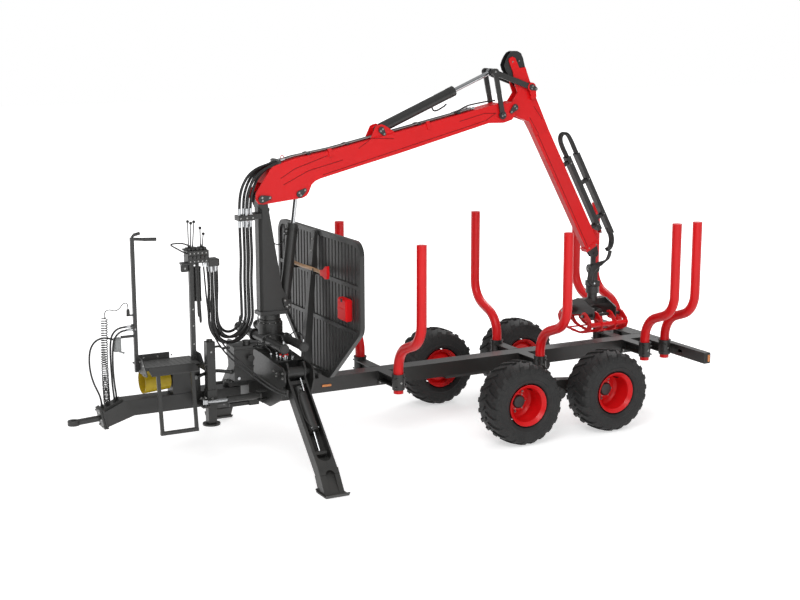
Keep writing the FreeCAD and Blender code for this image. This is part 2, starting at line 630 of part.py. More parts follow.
def boom():
    """The main boom: a box that opens into two cheeks at the root, over the lift lug and at the tip."""
    outline = [
        (-50, -35), (-62, 20), (-40, 75), (185, 262), (215, 272), (457, 272), (876, 226), (1452, 188), (2700, 108),
        (2880, 98), (2880, -118), (2850, -114), (2690, -66), (1590, -42), (971, -18), (661, -8), (600, -14),
        (553, -36), (505, -96), (470, -124), (421, -132), (0, -58),
    ]
    beam = plate_y(boom_outline(outline), -88, 88)
    root_room = plate_y(boom_outline([(-200, -300), (300, -300), (300, 60), (175, 150), (-200, 150)]), -76, 76)
    lug_room = plate_y(boom_outline([(299, -300), (640, -300), (640, 10), (500, 75), (299, 75)]), -76, 76)
    inside = plate_y(boom_outline([(290, 50), (640, 0), (1590, -32), (2690, -56), (2780, -56), (2780, 92),
                                   (1452, 176), (876, 214), (457, 258), (290, 258)]), -80, 80)
    nose = [(2870, -118), (2870, 98), (2960, 66), (3050, 62), (3092, 30), (3096, -20), (3060, -52), (2975, -118)]
    cheeks = plate_pair(boom_outline(nose), 74, 88)
    ears = plate_pair(boom_outline([(1290, 170), (1405, 300), (1435, 306), (1475, 304), (1510, 280), (1620, 160)]),
                      58, 70)
    ears += [pin_y(STICK_FOOT, s * 28, s * 60, 36) for s in (-1, 1)]
    body = join([beam.cut(root_room).cut(lug_room).cut(inside)] + cheeks + ears)
    body = body.cut(hole_y(BOOM_PIVOT, MAIN_PIN_R + PIN_PLAY))
    stubs = [pin_y(LIFT_HEAD, s * 40, s * 92, CYLINDER_PIN_R) for s in (-1, 1)]
    return join([body, pin_y(BOOM_TIP, -96, 96, MAIN_PIN_R), pin_y(STICK_FOOT, -80, 80, CYLINDER_PIN_R),
                 pin_y(LINK_LOW, -124, 124, LINK_PIN_R)] + stubs)


def stick():
    """The stick: cheeks round the boom's tip pin that carry the link, and a box for the extension."""
    cheek = [
        (-35, -55), (10, -62), (60, -45), (125, 0), (240, 105), (420, 115), (420, 285), (60, 300), (0, 320),
        (-40, 345), (-100, 345), (-130, 310), (-300, 330), (-330, 260), (-450, 262), (-480, 235), (-480, 195),
        (-450, 178), (-330, 170), (-200, 130), (-110, 120), (-60, 20),
    ]
    cheeks = plate_pair(stick_outline(cheek), 46, 58)
    tube = plate_y(stick_outline([(180, 60), (240, 105), (1935, 115), (1935, 290), (180, 290)]), -46, 46)
    room = plate_y(stick_outline([(300, 127), (1990, 127), (1990, 273), (300, 273)]), -37, 37)
    collar = plate_y(stick_outline([(1890, 104), (1935, 104), (1935, 296), (1890, 296)]), -54, 54)
    hub = pin_y(BOOM_TIP, -70, 70, 58)
    body = join([tube, collar, hub] + cheeks).cut(room)
    body = body.cut(hole_y(BOOM_TIP, MAIN_PIN_R + PIN_PLAY))
    return join([body, pin_y(FORK_PIN, -96, 96, CYLINDER_PIN_R)])


def extension():
    """The box that slides in the stick, with the fork for the hanger's pin."""
    inner = plate_y(stick_outline([(420, 134), (1880, 134), (1880, 266), (420, 266)]), -31, 31)
    room = plate_y(stick_outline([(400, 144), (1860, 144), (1860, 256), (400, 256)]), -22, 22)
    tip = [(1860, 134), (1940, 134), (2030, 150), (2058, 178), (2062, 212), (2040, 246), (1940, 266), (1860, 266)]
    fork = plate_pair(stick_outline(tip), 19, 31)
    pin = pin_y(stick_point(*TIP_PIN), -44, 44, TIP_PIN_R)
    return join([inner.cut(room), pin] + fork)


def hanger():
    """The link between the stick's tip and the rotator, with its swing damper."""
    x, z = GRAPPLE_X, TIP_Z
    body = join([
        pin_y((x, z), -15, 15, 36), box(x - 28, x + 28, -15, 15, z - 150, z),
        rod((x - 58, 0, z - 175), (x + 58, 0, z - 175), 52), box(x - 34, x + 34, -50, 50, ROTATOR_Z1 + 55, z - 170),
        box(x - 60, x + 60, -60, 60, ROTATOR_Z1, ROTATOR_Z1 + 60),
    ])
    return body.cut(hole_y((x, z), TIP_PIN_R + PIN_PLAY))


def rotator():
    x = GRAPPLE_X
    return join([
        rod((x, 0, ROTATOR_Z0 + 30), (x, 0, ROTATOR_Z1), 76), rod((x, 0, ROTATOR_Z0 + 1), (x, 0, ROTATOR_Z0 + 30), 58),
    ])


def grapple_body():
    """The grapple's body: two end plates and a spine under the rotator, with the jaws' two long pins."""
    x, top = GRAPPLE_X, ROTATOR_Z0
    outline = mirror_outline([(0, top - 30), (62, top - 30), (252, top - 105), (252, JAW_PIN_Z - 35),
                              (225, JAW_PIN_Z - 50), (150, JAW_PIN_Z - 50), (0, JAW_PIN_Z - 20)])
    plates = [plate_x(outline, x + s * 150 - 9, x + s * 150 + 9) for s in (-1, 1)]
    neck = rod((x, 0, top - 60), (x, 0, top), 56)
    spine = box(x - 150, x + 150, -45, 45, top - 80, top - 32)
    ribs = [prism([(x - 150, y, top - 100), (x + 150, y, top - 100), (x + 60, y, top - 32), (x - 60, y, top - 32)],
                  (0, 10, 0)) for y in (-45, 35)]
    pins = [rod((x - 268, s * JAW_PIN_Y, JAW_PIN_Z), (x + 268, s * JAW_PIN_Y, JAW_PIN_Z), JAW_PIN_R) for s in (-1, 1)]
    return join(plates + [neck, spine] + ribs + pins)


def jaw(side, reaches, tip_gap):
    """One jaw: curved plates on its pin, and tubes across its back. side is -1 left, 1 right."""
    y, z, low = JAW_PIN_Y, JAW_PIN_Z, 885.0
    back = [
        (y - 30, z + 34), (y + 5, z + 46), (y + 50, z + 34), (y + 128, z - 26), (y + 160, z - 80),
        (y + 135, z - 140), (y + 50, low + 22), (y - 60, low), (-tip_gap, low + 2),
    ]
    inside = [
        (-tip_gap, low + 12), (y - 70, low + 22), (y + 20, low + 50), (y + 70, z - 115), (y + 84, z - 75),
        (y + 60, z - 46), (y, z - 44), (y - 36, z - 22),
    ]
    outline = [(side * a, b) for a, b in back + inside]
    plates = [plate_x(outline, GRAPPLE_X + r - 8, GRAPPLE_X + r + 8) for r in reaches]
    ends = (GRAPPLE_X + min(reaches), GRAPPLE_X + max(reaches))

    def tube(across, up, radius):
        return rod((ends[0], side * across, up), (ends[1], side * across, up), radius)
    shape = join(plates + [tube(y + 120, z - 85, 27), tube(y - 30, low + 11, 9)])
    return shape.cut(rod((ends[0] - 50, side * y, z), (ends[1] + 50, side * y, z), JAW_PIN_R + PIN_PLAY))


def turned(foot, head, outline):
    """A turned piece on the line from foot to head in the XZ plane; the outline gives (distance, radius)."""
    loop = [V(distance, radius, 0) for distance, radius in outline]
    section = Part.Face(Part.makePolygon(loop + loop[:1]))
    piece = section.revolve(V(0, 0, 0), V(1, 0, 0), 360)
    piece.rotate(V(0, 0, 0), V(0, -1, 0), math.degrees(math.atan2(head[1] - foot[1], head[0] - foot[0])))
    piece.translate(V(foot[0], 0, foot[1]))
    return piece


def cylinder_barrel(foot, head, length, barrel_r, rod_r, eye_r, eye_half):
    """The barrel of a hydraulic cylinder, its eye on the foot pin and a gland where the rod comes out."""
    bore = barrel_r - 9
    shell = turned(foot, head, [(38, 0), (38, barrel_r), (length - 45, barrel_r), (length - 45, barrel_r + 2),
                                (length, barrel_r + 2), (length, rod_r + 0.4), (length - 45, rod_r + 0.4),
                                (length - 45, bore), (80, bore), (80, 0)])
    eye = pin_y(foot, -eye_half, eye_half, eye_r)
    return join([shell, eye]).cut(hole_y(foot, CYLINDER_PIN_R + PIN_PLAY))


def cylinder_rod(foot, head, piston_at, barrel_r, rod_r, eye_r, eye_half, eye_hole):
    """The chromed rod with its piston and an eye at the head."""
    reach = math.hypot(head[0] - foot[0], head[1] - foot[1])
    piston = barrel_r - 9.4
    bar = turned(foot, head, [(piston_at, 0), (piston_at, piston), (piston_at + 40, piston), (piston_at + 40, rod_r),
                              (reach, rod_r), (reach, 0)])
    eye = pin_y(head, -eye_half, eye_half, eye_r)
    return join([bar, eye]).cut(hole_y(head, eye_hole))


def link_bars():
    """The two outer bars of the stick's link, on the boom's pin."""
    bars = []
    for s in (-1, 1):
        y0, y1 = sorted((s * 98, s * 116))
        bar = join([
            plate_y(bar_outline(LINK_LOW, LINK_HIGH, 27), y0, y1),
            pin_y(LINK_LOW, y0, y1, 42), pin_y(LINK_HIGH, y0, y1, 40),
        ])
        bars.append(bar.cut(hole_y(LINK_LOW, LINK_PIN_R + PIN_PLAY)))
    return Part.makeCompound(bars)


def link_fork():
    """The inner pair of bars, from the stick's pin to the link's top, each with a stub for the rod's eye."""
    bars = []
    for s in (-1, 1):
        y0, y1 = sorted((s * 76, s * 92))
        bar = join([
            plate_y(bar_outline(FORK_PIN, LINK_HIGH, 30), y0, y1),
            pin_y(FORK_PIN, y0, y1, 44), pin_y(LINK_HIGH, y0, y1, 40),
            pin_y(LINK_HIGH, s * 27, s * 80, LINK_PIN_R),
        ])
        bars.append(bar.cut(hole_y(FORK_PIN, CYLINDER_PIN_R + PIN_PLAY)))
    return Part.makeCompound(bars)


def stick_cover():
    """The hood over the stick's head, open on the side that the cylinder's rod swings into."""
    outline = [
        (-150, 165), (-330, 116), (-390, 106), (-444, 116), (-480, 156), (-508, 200), (-524, 240), (-522, 284), (-498, 326), (-456, 356),
        (-400, 356), (-300, 334), (-150, 308),
    ]
    room = [
        (-140, 135), (-380, 58), (-540, 68), (-556, 200), (-512, 280), (-488, 320), (-452, 345), (-400, 345),
        (-300, 323), (-140, 296),
    ]
    return plate_y(stick_outline(outline), -44, 44).cut(plate_y(stick_outline(room), -36, 36))


def hose_guide(s0, s1, n0, n1, brackets):
    """A channel along the stick that the hoses run in, on its brackets."""
    body = plate_y(stick_outline([(s0, n0), (s1, n0), (s1, n1), (s0, n1)]), -40, 40)
    room = plate_y(stick_outline([(s0 - 9, n0 + 6), (s1 + 9, n0 + 6), (s1 + 9, n1 + 9), (s0 - 9, n1 + 9)]), -34, 34)
    legs = [plate_y(stick_outline([(s, m0), (s + 30, m0), (s + 30, m1), (s, m1)]), -30, 30) for s, m0, m1 in brackets]
    return join([body.cut(room)] + legs)


# ---------------------------------------------------------------- hoses

def main_hose_spots():
    """Where each of the five main hoses leaves the manifold and reaches the column's clamp."""
    dx, dy = MAIN_CLAMP[0] - MAIN_OUTLET[0], MAIN_CLAMP[1] - MAIN_OUTLET[1]
    length = math.hypot(dx, dy)
    ux, uy = dx / length, dy / length
    spots = []
    for nest, row in ((0, 0), (1, 0), (2, 0), (0, 1), (1, 1)):
        along, across = nest * MAIN_PITCH, row * MAIN_ROW
        outlet = (MAIN_OUTLET[0] + ux * along + uy * across, MAIN_OUTLET[1] + uy * along - ux * across)
        clamp = (MAIN_CLAMP[0] - ux * along + uy * across, MAIN_CLAMP[1] - uy * along - ux * across)
        spots.append((nest, row, outlet, clamp))
    return spots


def valve_hose(nest, row, outlet, clamp):
    """One main hose, down from the manifold and round the bottom of its loop."""
    half = math.hypot(clamp[0] - outlet[0], clamp[1] - outlet[1]) / 2
    low = MAIN_LOW_Z + nest * MAIN_PITCH + row * 8
    sway = (5, -4, 6)[nest]

    def at(share, z):
        return outlet[0] + (clamp[0] - outlet[0]) * share, outlet[1] + (clamp[1] - outlet[1]) * share, z
    shoulder = low + 0.586 * half
    drop = (MAIN_OUTLET_Z - shoulder) / 3
    x, y = outlet
    points = [
        (x, y, MAIN_OUTLET_Z), (x + sway, y - sway, MAIN_OUTLET_Z - drop), (x - sway, y + sway, shoulder + drop),
        at(0, shoulder), at(0.293, low), at(0.707, low), at(1, shoulder), at(1, MAIN_SPLIT_Z),
    ]
    return cord("valve_hoses", points, MAIN_HOSE_R)


def column_hose(nest, clamp):
    """The same hose, up the front of the column to its clamp."""
    x, y = clamp
    sway = (7, 4, 6)[nest]
    points = [
        (x, y, MAIN_SPLIT_Z), (x, y, MAIN_SPLIT_Z + 130), (x - sway, y + 3, 1840), (x + sway, y - 2, 2070),
        (x, y, 2290), (x, y, CLAMP_Z0),
    ]
    return cord("column_hoses", points, MAIN_HOSE_R)


def boom_hose(nest, row, clamp):
    """The same hose again, from the clamp over the boom's root to the boom's top."""
    end_y = (68, 33, -37, -2, -72)[nest + 3 * row]
    outer = [(0, CLAMP_Z1), (0, 2650), (50, 2800), (150, 2905), (304, 2962)]
    inner = [(0, CLAMP_Z1), (0, 2615), (36, 2735), (105, 2840), (215, 2922)]
    share = 1 - nest / 2.0
    x, y = clamp
    points = []
    for i, (a, b) in enumerate(zip(outer, inner)):
        px = x + a[0] * (1 - share) + b[0] * share
        pz = a[1] * (1 - share) + b[1] * share
        points.append((px, y + (end_y - y) * (0, 0, 0.12, 0.45, 0.8)[i], pz))
    end = boom_point(300, 290)
    points.append((end[0], end_y, end[1]))
    return cord("boom_hoses", points, MAIN_HOSE_R)


COIL_ROUTE = [
    (-3160, -300, 1650), (-3168, -298, 1450), (-3168, -280, 1250), (-3156, -235, 1070), (-3130, -150, 910),
    (-3098, -50, 800), (-3082, 10, 718),
]
LEAD_ROUTE = [
    (-3160, -300, 1650), (-3156, -300, 1700), (-3108, -300, 1714), (-3058, -300, 1690), (-3010, -300, 1712),
    (-2980, -300, 1756), (-2938, -300, 1764), (-2930, -300, 1724), (-2930, -300, 1700),
]
FRONT_ROUTES = [
    [(-2905, -300, 1530), (-2975, -302, 1534), (-3050, -304, 1520), (-3100, -302, 1462), (-3112, -292, 1370),
     (-3106, -262, 1240), (-3088, -210, 1090), (-3060, -130, 930), (-3028, -50, 815), (-3015, -20, 746)],
    [(-2905, -335, 1508), (-2970, -338, 1510), (-3035, -342, 1496), (-3084, -342, 1445), (-3100, -335, 1360),
     (-3100, -312, 1235), (-3080, -245, 1080), (-3040, -140, 925), (-2998, -30, 815), (-2985, 15, 758)],
    [(-3050, -278, 1400), (-3062, -248, 1408), (-3105, -232, 1424), (-3170, -230, 1434), (-3242, -234, 1410),
     (-3290, -232, 1338), (-3302, -225, 1225), (-3288, -205, 1100), (-3250, -165, 985), (-3195, -95, 885),
     (-3146, -15, 790), (-3130, 15, 698)],
]
SUCTION_ROUTE = [
    (-2204, -118, 916), (-2120, -120, 945), (-2030, -130, 962), (-1952, -165, 958), (-1890, -200, 947),
]
LEG_ROUTES = [
    [(-2160, -352, 2092), (-2152, -358, 1980), (-2146, -364, 1760), (-2128, -372, 1560), (-2084, -384, 1380),
     (-1996, -412, 1232), (-1900, -480, 1120), (-1800, -590, 1020), (-1710, -710, 930), (-1630, -790, 872),
     (-1577, -806, 850)],
    [(-2190, -352, 2092), (-2186, -360, 1975), (-2176, -372, 1750), (-2160, -386, 1545), (-2118, -402, 1362),
     (-2026, -434, 1206), (-1922, -504, 1092), (-1812, -614, 986), (-1716, -730, 896), (-1634, -804, 842),
     (-1577, -818, 822)],
]
LIFT_HOSE_ROUTE = [
    (-1368, 0, 2496), (-1368, 0, 2400), (-1354, 0, 2300), (-1338, 0, 2192), (-1294, 0, 2150), (-1236, 0, 2150),
    (-1194, 0, 2192), (-1194, 0, 2290),
]


def hand_tools():
    """The axe and the box that hang on the front of the headboard."""
    x = HEADBOARD_X - 118
    handle = plate_x([(470, 1866), (470, 1896), (-350, 1904), (-350, 1858)], x - 11, x + 11)
    head = plate_x([(-345, 1850), (-345, 1930), (-395, 1932), (-470, 1975), (-482, 1880), (-462, 1800),
                    (-395, 1836)], x - 16, x + 16)
    hooks = [box(x - 24, HEADBOARD_X - 22, y - 8, y + 8, 1836, 1868) for y in (320, -160)]
    case = box(HEADBOARD_X - 82, HEADBOARD_X - 8, -800, -600, 1452, 1690)
    return Part.makeCompound([join([handle, head] + hooks), case])


def couplings():
    """What the drawbar's post parks: hose ends on a bracket, the plug in its holder, and the coupling box."""
    x = POST_X - 17
    return Part.makeCompound([
        box(-2905, x, -352, -285, 1488, 1552),
        join([rod((-2930, -300, 1640), (-2930, -300, 1700), 17), box(-2948, x, -312, -288, 1632, 1646)]),
        join([box(-3085, -3010, -322, -278, 1300, 1440), box(-3010, x, -306, -294, 1425, 1450),
              rod((-3030, -300, 1300), (-2990, -300, 1285), 8)]),
    ])


parts = {}
for word, side in (("left", -1), ("right", 1)):
    for end, shift in (("front", -AXLE_PITCH / 2), ("rear", AXLE_PITCH / 2)):
        tyre, rim = wheel(BOGIE_X + shift, side)
        parts["tyre_" + word + "_" + end] = tyre
        parts["rim_" + word + "_" + end] = rim
    barrel, bar = steering_cylinder(side * STEER_Y)
    parts["steer_barrel_" + word] = barrel
    parts["steer_rod_" + word] = bar

parts["bogie_right"] = bogie()
parts["bogie_left"] = mirrored(parts["bogie_right"])
parts["bogie_axle"] = bogie_axle()
parts["main_beam"] = main_beam()
right_arms = [bunk_arm(x) for x in BUNK_X]
parts["bunks"] = Part.makeCompound(right_arms + [mirrored(arm) for arm in right_arms])
parts["stakes"] = Part.makeCompound([stake(x, side) for x in BUNK_X for side in (-1, 1)])
parts["tail_bar"] = tail_bar()
parts["headboard"] = headboard()
parts["hand_tools"] = hand_tools()
tail_lamps = [box(TAIL_X0 + 20, TAIL_X1, s * 1036 - 6, s * 1036 + 6, 610, 712) for s in (-1, 1)]
side_lamps = [box(-850, -740, s * (BEAM_HALF_W + 6) - 6, s * (BEAM_HALF_W + 6) + 6, 640, 665) for s in (-1, 1)]
parts["lamps"] = Part.makeCompound(tail_lamps + side_lamps)

parts["crane_frame"] = crane_frame()
parts["slew_housing"] = slew_housing()
parts["oil_tank"] = join([
    box(-1880, -1680, -300, -125, 870, 1215), rod(SUCTION_ROUTE[-1], beyond(SUCTION_ROUTE, 0.6), 20),
])
parts["leg_right"] = leg()
parts["leg_left"] = mirrored(parts["leg_right"])

parts["drawbar"] = drawbar()
parts["tow_eye"] = tow_eye()
parts["jack_tube"], parts["jack_foot"] = jack()
parts["platform"] = platform()
parts["valve_block"] = valve_block()
parts["pump"] = pump()
parts["pto_guard"] = pto_guard()
parts["couplings"] = couplings()
parts["column"] = column()
parts["lift_barrel"] = join([
    cylinder_barrel(LIFT_FOOT, LIFT_HEAD, 828, 56, 22, 42, 34), box(-1206, -1163, -10, 10, 2290, 2312),
])
parts["lift_rod"] = cylinder_rod(LIFT_FOOT, LIFT_HEAD, 300, 56, 22, 42, 34, 27)
parts["boom"] = boom()
parts["stick_barrel"] = cylinder_barrel(STICK_FOOT, LINK_HIGH, 965, 54, 24, 40, 26)
parts["stick_rod"] = cylinder_rod(STICK_FOOT, LINK_HIGH, 790, 54, 24, 40, 26, 24)
parts["link_bars"] = link_bars()
parts["link_fork"] = link_fork()
parts["stick"] = stick()
parts["stick_guards"] = Part.makeCompound([
    stick_cover(),
    hose_guide(850, 1805, 355, 410, [(900, 290, 356), (1720, 290, 356)]),
    hose_guide(880, 1935, 485, 532, [(1200, 410, 486), (1660, 410, 486)]),
])
parts["extension"] = extension()
parts["hanger"] = hanger()
parts["rotator"] = rotator()
parts["grapple_body"] = grapple_body()
parts["jaw_left"] = jaw(-1, (-245, -95, 95, 245), 45)
parts["jaw_right"] = jaw(1, (-220, -60, 60, 220), 45)

spots = main_hose_spots()
parts["valve_hoses"] = Part.makeCompound([valve_hose(*spot) for spot in spots])
parts["column_hoses"] = Part.makeCompound([column_hose(nest, clamp) for nest, row, outlet, clamp in spots])
parts["boom_hoses"] = Part.makeCompound([boom_hose(nest, row, clamp) for nest, row, outlet, clamp in spots])
parts["coil_lead"] = Part.makeCompound([
    cord("coil", COIL_ROUTE, COIL_R), cord("lead", LEAD_ROUTE, LEAD_R),
])
parts["front_hoses"] = Part.makeCompound([cord("front", points, FRONT_HOSE_R) for points in FRONT_ROUTES])
parts["suction_hose"] = cord("suction", SUCTION_ROUTE, SUCTION_HOSE_R)
parts["leg_hoses"] = Part.makeCompound([cord("leg", points, LEG_HOSE_R) for points in LEG_ROUTES])
parts["lift_hose"] = cord("lift", LIFT_HOSE_ROUTE, LIFT_HOSE_R)

os.makedirs("parts", exist_ok=True)
for name, shape in parts.items():
    shape.exportStep("parts/" + name + ".step")
    print(name, len(shape.Solids), shape.isValid(), round(shape.Volume / 1e6, 2))
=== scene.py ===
import bpy
import bmesh
import json
import math
from mathutils import Matrix, Vector


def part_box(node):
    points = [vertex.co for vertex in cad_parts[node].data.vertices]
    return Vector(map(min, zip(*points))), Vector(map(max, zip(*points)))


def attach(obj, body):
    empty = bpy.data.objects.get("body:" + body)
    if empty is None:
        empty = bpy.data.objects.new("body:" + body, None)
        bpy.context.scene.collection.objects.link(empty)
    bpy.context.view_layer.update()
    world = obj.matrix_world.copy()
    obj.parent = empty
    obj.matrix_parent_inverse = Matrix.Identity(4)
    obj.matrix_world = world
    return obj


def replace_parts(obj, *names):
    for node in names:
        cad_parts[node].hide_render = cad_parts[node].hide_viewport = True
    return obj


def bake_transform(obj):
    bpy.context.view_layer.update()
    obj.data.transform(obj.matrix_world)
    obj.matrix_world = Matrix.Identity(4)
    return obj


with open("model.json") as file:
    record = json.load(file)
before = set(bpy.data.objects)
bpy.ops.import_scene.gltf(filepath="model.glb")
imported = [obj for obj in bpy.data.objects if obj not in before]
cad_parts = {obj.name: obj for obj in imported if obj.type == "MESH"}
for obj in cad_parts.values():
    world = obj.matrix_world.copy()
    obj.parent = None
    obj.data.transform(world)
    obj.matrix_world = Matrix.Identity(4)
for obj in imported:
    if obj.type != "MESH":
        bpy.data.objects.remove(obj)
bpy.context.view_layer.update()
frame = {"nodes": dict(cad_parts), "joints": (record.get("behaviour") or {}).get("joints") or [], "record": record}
nodes = frame["nodes"]

# ---------------------------------------------------------------- camera
CAMERA_AT = (-6.771, -13.156, 4.384)
CAMERA_YAW, CAMERA_PITCH, CAMERA_ROLL = 27.65, 11.17, 0.1
CAMERA_LENS = 64.31

camera = bpy.data.objects.new("camera", bpy.data.cameras.new("camera"))
camera.data.lens = CAMERA_LENS
camera.data.sensor_width = 36.0
camera.data.clip_end = 200.0
camera.location = CAMERA_AT
camera.rotation_euler = (
    math.radians(90.0 - CAMERA_PITCH), math.radians(CAMERA_ROLL), math.radians(-CAMERA_YAW))
bpy.context.scene.collection.objects.link(camera)
bpy.context.scene.camera = camera


# ---------------------------------------------------------------- materials

class Nodes:
    """Short ways to add nodes to a tree and to join them."""

    def __init__(self, tree):
        self.tree = tree
        self.coordinates = self.node("ShaderNodeTexCoord").outputs
        self.place = self.coordinates["Object"]

    def node(self, kind, **values):
        """A new node, with its settings and the values of its inputs."""
        made = self.tree.nodes.new(kind)
        for key, value in values.items():
            if hasattr(made, key):
                setattr(made, key, value)
            else:
                made.inputs[key.replace("_", " ")].default_value = value
        return made

    def link(self, source, target):
        self.tree.links.new(source, target)

    def noise(self, scale, detail, rough=0.55, source=None):
        made = self.node("ShaderNodeTexNoise", Scale=scale, Detail=detail, Roughness=rough)
        self.link(source or self.place, made.inputs["Vector"])
        return made.outputs["Fac"]

    def ramp(self, source, stops):
        """A colour for each value, blended between the stops."""
        made = self.node("ShaderNodeValToRGB")
        elements = made.color_ramp.elements
        while len(elements) < len(stops):
            elements.new(0.5)
        for element, (position, colour) in zip(elements, stops):
            element.position = position
            element.color = (*colour, 1.0)
        self.link(source, made.inputs["Fac"])
        return made.outputs["Color"]

    def spread(self, source, low, high, start=0.3, end=0.7):
        """Values from start to end, stretched to run from low to high."""
        made = self.node("ShaderNodeMapRange", From_Min=start, From_Max=end, To_Min=low, To_Max=high)
        self.link(source, made.inputs["Value"])
        return made.outputs["Result"]

    def mix(self, factor, a, b):
        made = self.node("ShaderNodeMix", data_type="RGBA")
        for value, socket in ((factor, made.inputs[0]), (a, made.inputs[6]), (b, made.inputs[7])):
            if isinstance(value, bpy.types.NodeSocket):
                self.link(value, socket)
            elif isinstance(value, float):
                socket.default_value = value
            else:
                socket.default_value = (*value, 1.0)
        return made.outputs[2]

    def bump(self, source, strength, distance, after=None):
        made = self.node("ShaderNodeBump", Strength=strength, Distance=distance)
        self.link(source, made.inputs["Height"])
        if after is not None:
            self.link(after, made.inputs["Normal"])
        return made.outputs["Normal"]

    def edge(self, radius):
        """Worn, slightly rounded edges."""
        return self.node("ShaderNodeBevel", samples=4, Radius=radius).outputs["Normal"]

    def combine(self, operation, a, b):
        """The sum or the product of two values, held between 0 and 1."""
        made = self.node("ShaderNodeMath", operation=operation, use_clamp=True)
        self.link(a, made.inputs[0])
        self.link(b, made.inputs[1])
        return made.outputs[0]

    def seen_directly(self, also):
        """Full for the camera's own rays and for one more kind of ray, and nothing for the rest."""
        rays = self.node("ShaderNodeLightPath").outputs
        return self.combine("ADD", rays["Is Camera Ray"], rays[also])


class Shader(Nodes):
    """One material, built from nodes."""

    def __init__(self, name):
        self.material = bpy.data.materials.new(name)
        self.material.use_nodes = True
        super().__init__(self.material.node_tree)
        self.bsdf = self.tree.nodes["Principled BSDF"]

    def set(self, **values):
        """The surface's inputs, each a plain value, a colour or the output of a node."""
        for key, value in values.items():
            socket = self.bsdf.inputs[key.replace("_", " ")]
            if isinstance(value, bpy.types.NodeSocket):
                self.link(value, socket)
            else:
                colour = isinstance(value, tuple) and len(value) == 3
                socket.default_value = (*value, 1.0) if colour else value


def tint(colour, factor):
    return tuple(min(1.0, c * factor) for c in colour)


def painted(name, colour, roughness, dust, shine=0.5, coat=0.12):
    """Sprayed paint: faint orange peel, worn edges, small changes of colour, and dust low down."""
    s = Shader(name)
    large = s.noise(1.7, 3.0)
    fine = s.noise(60.0, 3.0)
    base = s.ramp(large, [(0.3, tint(colour, 0.93)), (0.7, tint(colour, 1.05))])
    speck = s.ramp(s.noise(170.0, 2.0, 0.6), [(0.6, (0.0, 0.0, 0.0)), (0.72, (1.0, 1.0, 1.0))])
    base = s.mix(s.spread(speck, 0.0, 0.1, 0.0, 1.0), base, tint(colour, 1.6))
    split = s.node("ShaderNodeSeparateXYZ")
    s.link(s.place, split.inputs[0])
    low = s.spread(split.outputs["Z"], dust, 0.0, 0.0, 0.9)
    cloud = s.combine("MULTIPLY", low, s.spread(s.noise(7.0, 6.0, 0.7), 0.2, 1.0))
    base = s.mix(cloud, base, (0.16, 0.14, 0.12))
    s.set(Base_Color=base, Roughness=s.spread(fine, roughness - 0.05, roughness + 0.07),
          Normal=s.bump(s.noise(420.0, 2.0), 0.1, 0.0004, s.edge(0.004)), Specular_IOR_Level=shine,
          Coat_Weight=coat, Coat_Roughness=0.12)
    return s.material


def bare_metal(name, colour, roughness, grain):
    """Plated or polished metal with fine marks."""
    s = Shader(name)
    marks = s.noise(grain, 5.0, 0.65)
    s.set(Base_Color=s.ramp(marks, [(0.3, tint(colour, 0.82)), (0.7, tint(colour, 1.06))]), Metallic=1.0,
          Roughness=s.spread(s.noise(grain * 0.4, 4.0), roughness * 0.7, roughness * 1.4),
          Normal=s.bump(marks, 0.12, 0.0003))
    return s.material


def plastic(name, colour, roughness, grain=900.0, coat=0.0):
    """Moulded plastic with a fine texture."""
    s = Shader(name)
    fine = s.noise(grain, 2.0)
    s.set(Base_Color=s.ramp(s.noise(6.0, 5.0), [(0.3, tint(colour, 0.85)), (0.7, tint(colour, 1.12))]),
          Roughness=s.spread(s.noise(30.0, 4.0), roughness - 0.07, roughness + 0.08),
          Normal=s.bump(fine, 0.25, 0.0004), Coat_Weight=coat)
    return s.material


def rubber(name, colour, roughness, dust):
    """Rubber: dull, slightly mottled, with pale dust in patches."""
    s = Shader(name)
    base = s.ramp(s.noise(9.0, 6.0, 0.6), [(0.3, tint(colour, 0.75)), (0.7, tint(colour, 1.3))])
    worn = s.spread(s.noise(24.0, 8.0, 0.75), 0.0, dust, 0.52, 0.75)
    base = s.mix(worn, base, (0.17, 0.155, 0.13))
    s.set(Base_Color=base, Roughness=s.spread(s.noise(80.0, 4.0), roughness - 0.08, roughness + 0.08),
          Normal=s.bump(s.noise(320.0, 4.0), 0.25, 0.0006), Specular_IOR_Level=0.45)
    return s.material


def wood(name):
    """Ash wood with the grain along its length."""
    s = Shader(name)
    mapping = s.node("ShaderNodeMapping", Scale=(60.0, 6.0, 60.0))
    s.link(s.place, mapping.inputs["Vector"])
    grain = s.noise(1.0, 8.0, 0.7, mapping.outputs["Vector"])
    s.set(Base_Color=s.ramp(grain, [(0.35, (0.36, 0.19, 0.09)), (0.65, (0.62, 0.38, 0.2))]),
          Roughness=s.spread(grain, 0.4, 0.6), Normal=s.bump(grain, 0.3, 0.0006), Coat_Weight=0.2)
    return s.material


